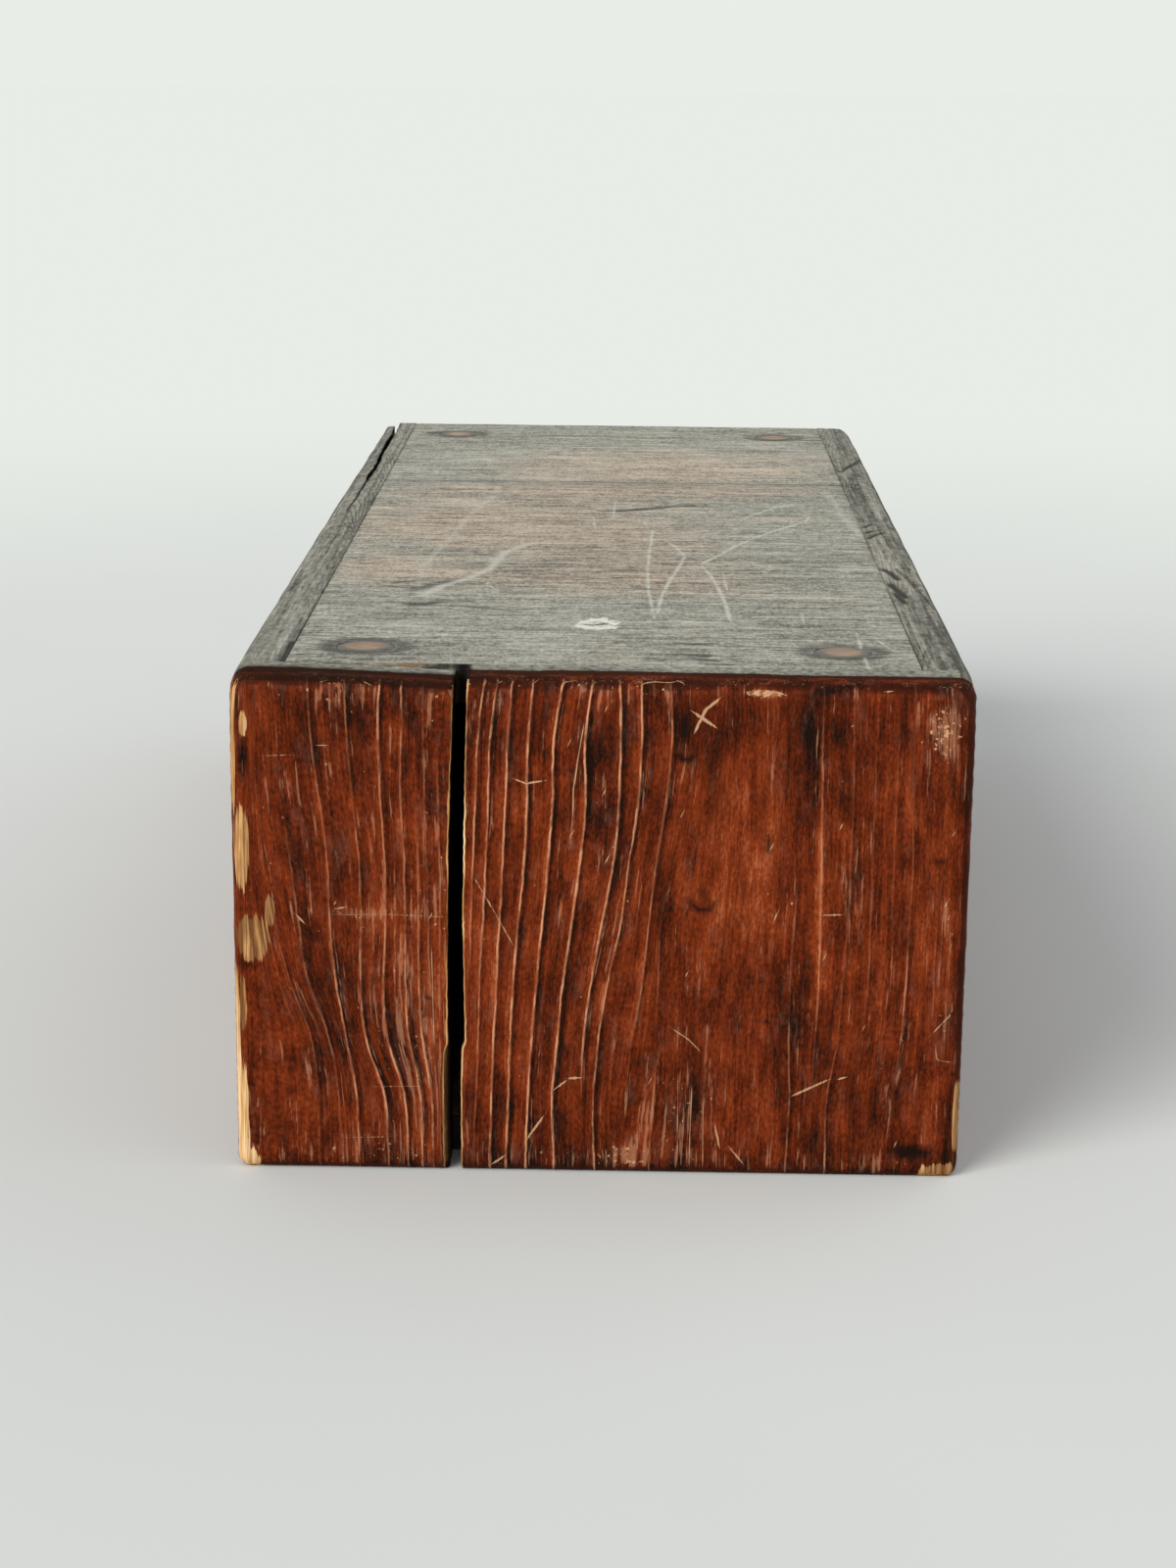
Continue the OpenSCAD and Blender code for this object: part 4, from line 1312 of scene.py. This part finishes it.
class Graph:
    """Short ways to add shader nodes to one material."""

    def __init__(self, name):
        self.material = bpy.data.materials.new(name)
        self.material.use_nodes = True
        self.tree = self.material.node_tree
        self.shader = self.tree.nodes["Principled BSDF"]

    def node(self, kind, inputs, output=0, **settings):
        """Adds a node, sets or links its inputs and returns one of its outputs."""
        node = self.tree.nodes.new(kind)
        for key, value in settings.items():
            setattr(node, key, value)
        for key, value in inputs.items():
            if isinstance(value, bpy.types.NodeSocket):
                self.tree.links.new(value, node.inputs[key])
            else:
                node.inputs[key].default_value = value
        return node.outputs[output]

    def field(self, name):
        return self.node("ShaderNodeAttribute", {}, "Fac", attribute_name=name)

    def fibre(self):
        return self.node("ShaderNodeAttribute", {}, "Vector", attribute_name="fibre")

    def place(self):
        return self.node("ShaderNodeTexCoord", {}, "Object")

    def math(self, operation, a, b=0.0):
        return self.node("ShaderNodeMath", {0: a, 1: b}, operation=operation)

    def add(self, *values):
        total = values[0]
        for value in values[1:]:
            total = self.math("ADD", total, value)
        return total

    def times(self, a, b):
        return self.math("MULTIPLY", a, b)

    def larger(self, a, b):
        return self.math("MAXIMUM", a, b)

    def weigh(self, base, *parts):
        """A base plus values times their weights."""
        return self.add(base, *(self.times(value, weight) for value, weight in parts))

    def span(self, value, low, high, to_low=0.0, to_high=1.0):
        """Smooth step of a value from one range to another."""
        inputs = {"Value": value, "From Min": low, "From Max": high, "To Min": to_low, "To Max": to_high}
        return self.node("ShaderNodeMapRange", inputs, "Result", interpolation_type="SMOOTHSTEP")

    def mix(self, share, a, b):
        return self.node("ShaderNodeMix", {0: share, 6: opaque(a), 7: opaque(b)}, 2, data_type="RGBA")

    def cover(self, colour, over, mask, strength):
        """A colour with another laid over it where the mask shows."""
        return self.mix(self.times(mask, strength), colour, over)

    def scaled(self, vector, factors):
        return self.node("ShaderNodeVectorMath", {0: vector, 1: factors}, operation="MULTIPLY")

    def along(self, fibre, factor):
        """Fibre coordinates scaled along the grain only."""
        return self.scaled(fibre, (1.0, 1.0, factor))

    def noise(self, vector, scale, detail=2.0, roughness=0.5):
        """Noise about zero, mostly from -1 to 1."""
        inputs = {"Vector": vector, "Scale": scale, "Detail": detail, "Roughness": roughness}
        return self.times(self.math("SUBTRACT", self.node("ShaderNodeTexNoise", inputs, "Fac"), 0.5), 4.0)

    def ramp(self, value, *stops):
        node = self.tree.nodes.new("ShaderNodeValToRGB")
        elements = node.color_ramp.elements
        while len(elements) < len(stops):
            elements.new(0.5)
        for element, (position, colour) in zip(elements, stops):
            element.position = position
            element.color = opaque(colour)
        self.tree.links.new(value, node.inputs[0])
        return node.outputs[0]

    def finish(self, colour, roughness, height, depth):
        """Links the shader's colour, roughness and relief, and gives the material."""
        bump = self.node("ShaderNodeBump", {"Height": height, "Distance": depth * MM, "Strength": 1.0})
        for key, value in (("Base Color", colour), ("Roughness", roughness), ("Normal", bump)):
            self.tree.links.new(value, self.shader.inputs[key])
        return self.material


def opaque(colour):
    """A colour with full alpha, or a socket as it is."""
    return (*colour, 1.0) if isinstance(colour, tuple) and len(colour) == 3 else colour


def from_whole(g, count):
    """How far a count is from the nearest whole number, with its sign."""
    return g.math("SUBTRACT", g.math("FRACT", g.add(count, 0.5)), 0.5)


def line_masks(g, fibre, fine):
    """Where grain lines run, painted light on one side of each and painted shade on the other, and finer
    lines.
    """
    ring, pitch = g.field("ring"), g.field("pitch")
    wobble = g.noise(g.scaled(fibre, (0.3, 1.0, 5.0)), 0.9, 3.0, 0.6)
    offset = g.weigh(g.times(from_whole(g, ring), pitch), (wobble, 0.16))
    thin = g.weigh(g.math("ABSOLUTE", offset), (fine, 0.18), (g.field("gain"), -0.14))
    finer = g.times(from_whole(g, g.times(ring, FINE_LINES)), g.times(pitch, 1 / FINE_LINES))
    finer_gap = g.weigh(g.math("ABSOLUTE", finer), (wobble, 0.15))
    return SimpleNamespace(
        line=g.span(thin, 0.26, 0.04),
        light=g.times(g.span(offset, -1.8, -0.1), g.span(offset, 0.3, 0.0)),
        shade=g.times(g.span(offset, 0.15, 0.5), g.span(offset, 2.2, 0.7)),
        finer=g.span(finer_gap, 0.45, 0.05),
    )


def stroke_mask(g, fray, soft):
    """Where scratches have cut the surface, with edges as soft as given in millimetres."""
    mask = 0.0
    for layer in range(STROKE_LAYERS):
        width, cut = g.field(f"width_{layer}"), g.field(f"cut_{layer}")
        inside = g.math("SUBTRACT", width, g.math("ABSOLUTE", cut))
        mask = g.larger(mask, g.span(g.add(inside, fray), -soft, soft))
    return mask


def raw_wood(g, fibre):
    """Colour and relief of bare wood that no finish has covered."""
    fine = g.noise(fibre, 2.2, 4.0, 0.6)
    value = g.weigh(0.5, (fine, 0.13), (g.noise(fibre, 0.35, 3.0), 0.2))
    return g.ramp(value, (0.2, RAW_DARK), (0.5, RAW_MID), (0.85, RAW_LIGHT)), fine


def grey_wood(g, fibre, warm):
    """Colour of weathered wood, grey where warm is 0 and brown where it is 1, and two of its noises."""
    fine = g.noise(fibre, 1.5, 4.0, 0.65)
    middle = g.noise(fibre, 0.45, 3.0, 0.6)
    lines = g.noise(g.along(fibre, 0.3), 0.5, 3.0, 0.6)
    mottle = g.noise(g.along(fibre, 2.5), 0.4, 4.0, 0.65)
    speckle = g.noise(g.along(fibre, 12.0), 0.55, 2.0)
    broad = g.noise(g.along(fibre, 2.0), 0.07, 3.0)
    value = g.weigh(
        0.5, (fine, 0.32), (lines, 0.46), (mottle, 0.26), (speckle, 0.28), (broad, 0.12),
        (g.field("tone"), 0.3)
    )
    grey = g.ramp(value, (0.0, GREY_DARK), (0.5, GREY_MID), (1.0, GREY_LIGHT))
    brown = g.ramp(value, (0.0, BROWN_DARK), (0.5, BROWN_MID), (1.0, BROWN_LIGHT))
    share = g.span(g.weigh(warm, (lines, 0.14), (broad, 0.2)), 0.0, 0.95)
    return g.mix(share, grey, brown), fine, middle


def stain_noises(g, fibre):
    """Noises of the stained wood, from fine fibres to broad blotches."""
    even = g.along(fibre, 1 / GRAIN_STRETCH)
    tall = g.along(even, 0.45)
    return SimpleNamespace(
        fine=g.noise(fibre, 1.8, 4.0, 0.6),
        middle=g.noise(fibre, 0.6, 3.0, 0.55),
        broad=g.noise(tall, 0.055, 3.0),
        blotch=g.noise(tall, 0.21, 4.0, 0.65),
        speckle=g.noise(tall, 1.7, 2.0),
        specks=g.noise(even, 0.8, 2.0),
        pores=g.noise(g.along(fibre, 1.1), 1.25, 4.0, 0.6),
        scuffs=g.noise(g.along(even, 0.25), 0.55, 4.0, 0.7),
        dashes=g.noise(g.scaled(fibre, (0.3, 1.0, 2.6)), 1.0, 3.0, 0.6),
    )


def stain_colour(g, grain, lines):
    """Colour of the stain, in blotches and streaks, with painted light and painted shade beside its grain
    lines.
    """
    gain = g.field("gain")
    value = g.weigh(
        0.475, (g.field("tone"), 0.34), (grain.broad, 0.20), (grain.blotch, 0.28), (grain.speckle, 0.19),
        (grain.middle, 0.17), (grain.fine, 0.15), (g.times(lines.light, gain), 0.22),
        (g.times(lines.shade, gain), -0.30), (lines.finer, 0.04)
    )
    return g.ramp(
        value, (0.0, STAIN_BLACK), (0.16, STAIN_DARK), (0.34, STAIN_DEEP), (0.52, STAIN_MID),
        (0.72, STAIN_WARM), (1.0, STAIN_LIGHT)
    )


def scuffed(g, colour, grain):
    """The stain with hazy scuffs, dark pores and pale fibres."""
    chipped = g.field("chipped")
    scuffs = g.weigh(grain.scuffs, (chipped, 0.5))
    colour = g.cover(colour, STAIN_HAZE, g.span(scuffs, 0.1, 0.8), 0.18)
    colour = g.cover(colour, STAIN_DARK, g.span(grain.pores, -0.3, -0.65), 0.38)
    fibres = g.weigh(grain.pores, (chipped, 0.6), (scuffs, 0.3))
    return g.cover(colour, LINE_PALE, g.span(fibres, 0.55, 0.9), 0.35)


def bright_lines(g, grain, line):
    """Where the raised grain lines are pale, in dashes: rubbed wood with a painted highlight on each
    ridge.
    """
    broken = g.span(g.weigh(grain.dashes, (grain.fine, 0.6)), -0.45, 0.3, 0.2, 1.0)
    return g.times(g.times(line, g.span(g.field("gain"), 0.02, 0.9)), broken)


def marked(g, colour, grain):
    """The stain with its dark lip, pale chips, dents and pits, and the painted shade behind the lip."""
    lip = g.span(g.weigh(g.field("lip"), (grain.middle, 0.3), (grain.specks, 0.2)), 0.25, 0.75)
    colour = g.cover(colour, LIP_DARK, lip, 0.9)
    specks = g.weigh(grain.specks, (grain.fine, 0.4))
    chips = g.span(g.weigh(specks, (g.field("chipped"), 0.75)), 1.05, 1.35)
    colour = g.cover(colour, SCRATCH_PALE, chips, 0.8)
    pits = g.span(specks, -0.95, -1.3)
    return g.cover(colour, STAIN_BLACK, g.larger(g.field("mark"), pits), 0.85)


def bare_wood(g, fine, middle):
    """Where the finish has gone, and the colour of the wood there."""
    share = g.span(g.weigh(g.field("bare"), (middle, 0.22), (fine, 0.22)), 0.0, 0.12)
    value = g.weigh(0.5, (g.field("pale"), 0.6), (fine, 0.42), (middle, 0.42))
    return share, g.ramp(value, (0.0, BARE_DARK), (0.45, BARE_MID), (0.95, BARE_LIGHT))


def greyed_top(g, fibre, line, grime):
    """Colour of the greyed top of a side board, with dark grain lines, gouges, dirt and painted shade
    behind the lip.
    """
    grey, _, _ = grey_wood(g, fibre, 0.1)
    grey = g.mix(0.24, grey, GREY_DARK)
    grey = g.cover(grey, SMUDGE_AND_SHADE, g.times(line, g.field("gain")), 0.65)
    # Gouges, and the painted shade behind the lip.
    grey = g.mix(g.span(g.field("mark"), 0.0, 1.0, 0.0, 0.92), grey, SMUDGE_AND_SHADE)
    return g.cover(grey, GREY_DARK, grime, 0.5)


def stained_wood():
    """Worn red-brown varnish with raised grain, bare patches, greyed tops and raw inner faces."""
    g = Graph("stained_wood")
    fibre = g.fibre()
    grain = stain_noises(g, fibre)
    fine, middle = grain.fine, grain.middle
    lines = line_masks(g, fibre, fine)
    colour = scuffed(g, stain_colour(g, grain, lines), grain)
    grime = g.span(g.weigh(g.field("grime"), (middle, 0.2)), 0.12, 0.65)
    colour = g.cover(colour, STAIN_DARK, grime, 0.8)
    bright = bright_lines(g, grain, lines.line)
    # Pale grain lines: rubbed wood with a painted highlight on each ridge.
    colour = marked(g, g.mix(bright, colour, LINE_PALE), grain)
    fray = g.add(g.times(fine, 0.16), g.times(middle, 0.10), -0.06)
    strokes = stroke_mask(g, fray, 0.10)
    colour = g.cover(colour, SCRATCH_PALE, strokes, 0.8)
    bare, wood = bare_wood(g, fine, middle)
    colour = g.mix(bare, colour, wood)
    weather = g.span(g.weigh(g.field("weather"), (middle, 0.12)), 0.25, 0.6)
    colour = g.mix(weather, colour, greyed_top(g, fibre, lines.line, grime))
    colour = g.mix(g.field("inside"), colour, raw_wood(g, fibre)[0])
    # Painted shade on the walls of the split and of the crack.
    colour = g.mix(g.field("painted_shade"), colour, PAINTED_SHADE_BLACK)
    roughness = g.span(g.larger(weather, bare), 0.0, 1.0, 0.42, 0.72)
    roughness = g.add(roughness, g.times(fine, 0.06), g.span(g.field("lip"), 0.0, 0.6, 0.0, 0.55))
    height = g.weigh(g.times(fine, 0.35), (bright, 0.6), (strokes, -0.6), (bare, -0.5))
    g.shader.inputs["Specular IOR Level"].default_value = 0.03
    return g.finish(colour, roughness, height, 0.22)


def lid_wood(g, fibre, grey, line, specks):
    """Weathered wood with dark grain lines, brown and pale dashes, ticks and pale specks."""
    dashes = g.noise(g.along(fibre, 0.5), 0.3, 3.0, 0.6)
    ticks = g.noise(g.along(fibre, 0.6), 0.85, 2.0)
    colour = g.cover(grey, GREY_DARK, g.times(line, g.field("gain")), 0.35)
    colour = g.cover(colour, BROWN_DARK, g.span(dashes, 0.4, 0.7), 0.35)
    colour = g.cover(colour, BROWN_LIGHT, g.span(dashes, -0.45, -0.75), 0.25)
    colour = g.cover(colour, SMUDGE_AND_SHADE, g.span(ticks, 0.8, 1.05), 0.5)
    return g.cover(colour, GREY_LIGHT, g.span(specks, -0.55, -0.85), 0.6)


def lid_stains(g, colour, middle):
    """Lid wood with its pale streaks, dark marks and the stain round each plug."""
    stains = (
        ("streak", CHALK, 0.22, (0.10, 0.9), 0.60),
        ("mark", SMUDGE_AND_SHADE, 0.22, (0.15, 0.95), 0.85),
        ("halo", SMUDGE_AND_SHADE, 0.18, (0.1, 1.0), 0.72),
    )
    for name, over, fray, reach, strength in stains:
        mask = g.span(g.weigh(g.field(name), (middle, fray)), *reach)
        colour = g.cover(colour, over, mask, strength)
    return colour


def paint_mask(g, specks, fine):
    """Where white paint is left: along the rim of its spot, and in flecks that no mark has rubbed off."""
    spot = g.weigh(g.field("paint"), (specks, 0.22))
    left = g.larger(g.span(spot, 0.62, 0.42), g.span(g.weigh(specks, (fine, 0.4)), -0.25, 0.25))
    left = g.times(left, g.span(g.weigh(g.field("mark"), (specks, 0.3)), 0.75, 0.3))
    return g.times(g.span(spot, 0.04, 0.16), left)


def greyed_wood():
    """Weathered lid boards with scratches, smudges, stains round the plugs and a spot of white paint."""
    g = Graph("greyed_wood")
    fibre = g.fibre()
    specks = g.noise(g.along(fibre, 1 / LID_STRETCH), 0.45, 3.0)
    grey, fine, middle = grey_wood(g, fibre, g.field("warm"))
    line = line_masks(g, fibre, fine).line
    colour = lid_stains(g, lid_wood(g, fibre, grey, line, specks), middle)
    fray = g.weigh(g.times(fine, 0.25), (middle, 0.25))
    broken = g.span(g.add(specks, middle), -0.6, 0.4, 0.4, 0.8)
    strokes = g.times(stroke_mask(g, fray, 0.5), broken)
    colour = g.mix(strokes, colour, CHALK)
    paint = paint_mask(g, specks, fine)
    colour = g.mix(paint, colour, PAINT_WHITE)
    colour = g.cover(colour, SMUDGE_AND_SHADE, g.field("grime"), 0.8)
    colour = g.mix(g.field("inside"), colour, raw_wood(g, fibre)[0])
    bare = g.span(g.weigh(g.field("bare"), (middle, 0.15)), 0.0, 0.2)
    colour = g.mix(bare, colour, RAW_MID)
    # Painted shade on the lid's front edge, at the split and where it is not torn.
    colour = g.mix(g.field("painted_shade"), colour, PAINTED_SHADE_BLACK)
    height = g.weigh(g.times(fine, 0.3), (middle, 0.4), (strokes, -0.4), (paint, 0.6))
    g.shader.inputs["Specular IOR Level"].default_value = 0.12
    return g.finish(colour, g.weigh(0.68, (fine, 0.06)), height, 0.30)


def plug_wood():
    """Brown plugs, greyed and stained towards their rims."""
    g = Graph("plug_wood")
    fibre = g.fibre()
    fine = g.noise(fibre, 1.6, 4.0, 0.65)
    broad = g.noise(fibre, 0.35, 3.0)
    value = g.weigh(0.5, (fine, 0.35), (broad, 0.35))
    colour = g.ramp(value, (0.1, PLUG_DARK), (0.5, PLUG_MID), (0.9, PLUG_LIGHT))
    out = g.weigh(g.field("rim"), (broad, 0.28), (fine, 0.1))
    colour = g.cover(colour, GREY_DARK, g.span(out, 0.5, 0.8), 0.9)
    colour = g.cover(colour, SMUDGE_AND_SHADE, g.span(out, 0.88, 1.0), 0.6)
    return g.finish(colour, g.weigh(0.68, (fine, 0.05)), fine, 0.05)


def carried_wood(name, stretch):
    """Raw wood for a solid that keeps its own shape, with its grain along the stretched axis, and painted
    shade near its front where the split shows it.
    """
    g = Graph(name)
    place = g.place()
    colour, fine = raw_wood(g, g.scaled(place, stretch))
    depth = g.node("ShaderNodeSeparateXYZ", {0: place}, "Y")
    # Painted shade where the bottom shows through the split.
    shade_behind_split = g.span(depth, (FRONT_Y + 1.5) * MM, (FRONT_Y + 0.5) * MM)
    colour = g.cover(colour, PAINTED_SHADE_BLACK, shade_behind_split, 0.95)
    return g.finish(colour, g.weigh(0.7, (fine, 0.05)), fine, 0.04)


def rusted_iron():
    """Dull iron with patches of rust."""
    g = Graph("iron")
    place = g.scaled(g.place(), (1 / MM, 1 / MM, 1 / MM))
    fine = g.noise(place, 1.6, 4.0, 0.6)
    rust = g.span(g.add(fine, g.noise(place, 0.5, 2.0)), -0.6, 1.0)
    colour = g.mix(rust, IRON_DARK, IRON_RUST)
    g.shader.inputs["Metallic"].default_value = 0.6
    return g.finish(colour, g.span(rust, 0.0, 1.0, 0.45, 0.85), fine, 0.02)


def pale_floor():
    """Pale floor that grows lighter away from the box."""
    g = Graph("floor")
    place = g.place()
    cloud = g.noise(place, 3.0, 3.0)
    away = g.node("ShaderNodeVectorMath", {0: place}, "Value", operation="LENGTH")
    near = g.mix(g.span(cloud, -1.0, 1.0), FLOOR_DIM, FLOOR_PALE)
    colour = g.mix(g.span(away, 0.35, 1.3), near, FLOOR_FAR)
    g.shader.inputs["Specular IOR Level"].default_value = 0.0
    return g.finish(colour, g.weigh(0.55, (cloud, 0.03)), cloud, 0.01)


# Stage

# Camera, as the photograph's perspective gives it: its place, then its turns in degrees
PHOTO_HEIGHT = 1600
FOCAL_PIXELS = 2979.1
SENSOR = 36
CAMERA_PLACE = (6.5, -918.0, 281.5)
CAMERA_TURNS = (("Z", 0.809), ("X", 90 - 14.646), ("Z", 0.590))
# Stage lengths in metres
CLIP_START, CLIP_END = 0.02, 60
FLOOR_HALF = 12.0
SUN_DISTANCE = 2
# Soft lights: name, where it comes from, watts per square metre, spread in degrees, colour
SUNS = (
    ("window", (-0.60, -0.62, 0.50), 2.6, 36, (1.0, 0.985, 0.95)),
    ("fill", (0.75, 0.35, 0.55), 0.4, 60, (0.95, 0.97, 1.0)),
)
SURROUND_COLOUR = (0.97, 0.98, 1.0)
SURROUND_STRENGTH = 0.56


def make_camera():
    """Camera at the place that the photograph's perspective gives."""
    data = bpy.data.cameras.new("camera")
    data.sensor_fit = "VERTICAL"
    data.sensor_height = SENSOR
    data.lens = FOCAL_PIXELS / PHOTO_HEIGHT * SENSOR
    data.clip_start = CLIP_START
    data.clip_end = CLIP_END
    camera = bpy.data.objects.new("camera", data)
    camera.matrix_world = Matrix.Translation(Vector(CAMERA_PLACE) * MM)
    for way, degrees in CAMERA_TURNS:
        camera.matrix_world = camera.matrix_world @ Matrix.Rotation(math.radians(degrees), 4, way)
    bpy.context.scene.collection.objects.link(camera)
    bpy.context.scene.camera = camera


def make_floor():
    """Wide pale floor that the box stands on."""
    half = FLOOR_HALF
    corners = [(-half, -half, 0), (half, -half, 0), (half, half, 0), (-half, half, 0)]
    mesh = bpy.data.meshes.new("floor")
    mesh.from_pydata(corners, [], [(0, 1, 2, 3)])
    mesh.materials.append(pale_floor())
    floor = bpy.data.objects.new("floor", mesh)
    bpy.context.scene.collection.objects.link(floor)


def make_sun(name, come_from, power, spread, colour):
    """Soft even light from one side."""
    data = bpy.data.lights.new(name, "SUN")
    data.energy = power
    data.angle = math.radians(spread)
    data.color = colour
    lamp = bpy.data.objects.new(name, data)
    lamp.rotation_euler = Vector(come_from).to_track_quat("Z", "Y").to_euler()
    lamp.location = Vector(come_from) * SUN_DISTANCE
    bpy.context.scene.collection.objects.link(lamp)


def make_surround():
    """Even pale light from all round, and a plain background where it is seen or mirrored."""
    world = bpy.data.worlds.new("surround")
    bpy.context.scene.world = world
    world.use_nodes = True
    nodes, links = world.node_tree.nodes, world.node_tree.links
    light = nodes["Background"]
    light.inputs["Color"].default_value = opaque(SURROUND_COLOUR)
    light.inputs["Strength"].default_value = SURROUND_STRENGTH
    seen = nodes.new("ShaderNodeBackground")
    seen.inputs["Color"].default_value = opaque(BACKGROUND)
    seen.inputs["Strength"].default_value = 1.0
    path = nodes.new("ShaderNodeLightPath")
    shows = path.outputs["Is Camera Ray"]
    for ray in ("Is Glossy Ray", "Is Transmission Ray"):
        either = nodes.new("ShaderNodeMath")
        either.operation = "MAXIMUM"
        links.new(shows, either.inputs[0])
        links.new(path.outputs[ray], either.inputs[1])
        shows = either.outputs[0]
    choose = nodes.new("ShaderNodeMixShader")
    for number, source in enumerate((shows, light.outputs[0], seen.outputs[0])):
        links.new(source, choose.inputs[number])
    links.new(choose.outputs[0], nodes["World Output"].inputs["Surface"])


def dress_solids():
    """Finishes for the solids that keep their own shape."""
    across = (GRAIN_STRETCH / MM, 1 / MM, 1 / MM)
    along = (1 / MM, GRAIN_STRETCH / MM, 1 / MM)
    finishes = {
        carried_wood("bottom_wood", across): [f"bottom_board_{part}" for part in BOARD_ROW],
        carried_wood("batten_wood", along): ["lid_batten_left", "lid_batten_right"],
        rusted_iron(): ["front_nails", "back_nails", "bottom_nails", "lid_screws"],
    }
    for material, names in finishes.items():
        for name in names:
            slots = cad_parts[name].data.materials
            slots.clear()
            slots.append(material)


make_camera()
make_floor()
for settings in SUNS:
    make_sun(*settings)
make_surround()
stain = stained_wood()
grey = greyed_wood()
make_front(stain)
side_board("left", -1, stain)
side_board("right", 1, stain)
back_board(stain)
for number, part in enumerate(BOARD_ROW):
    lid_board(number, part, grey)
lid_plugs(plug_wood())
dress_solids()

bpy.context.scene.view_settings.view_transform = "Standard"
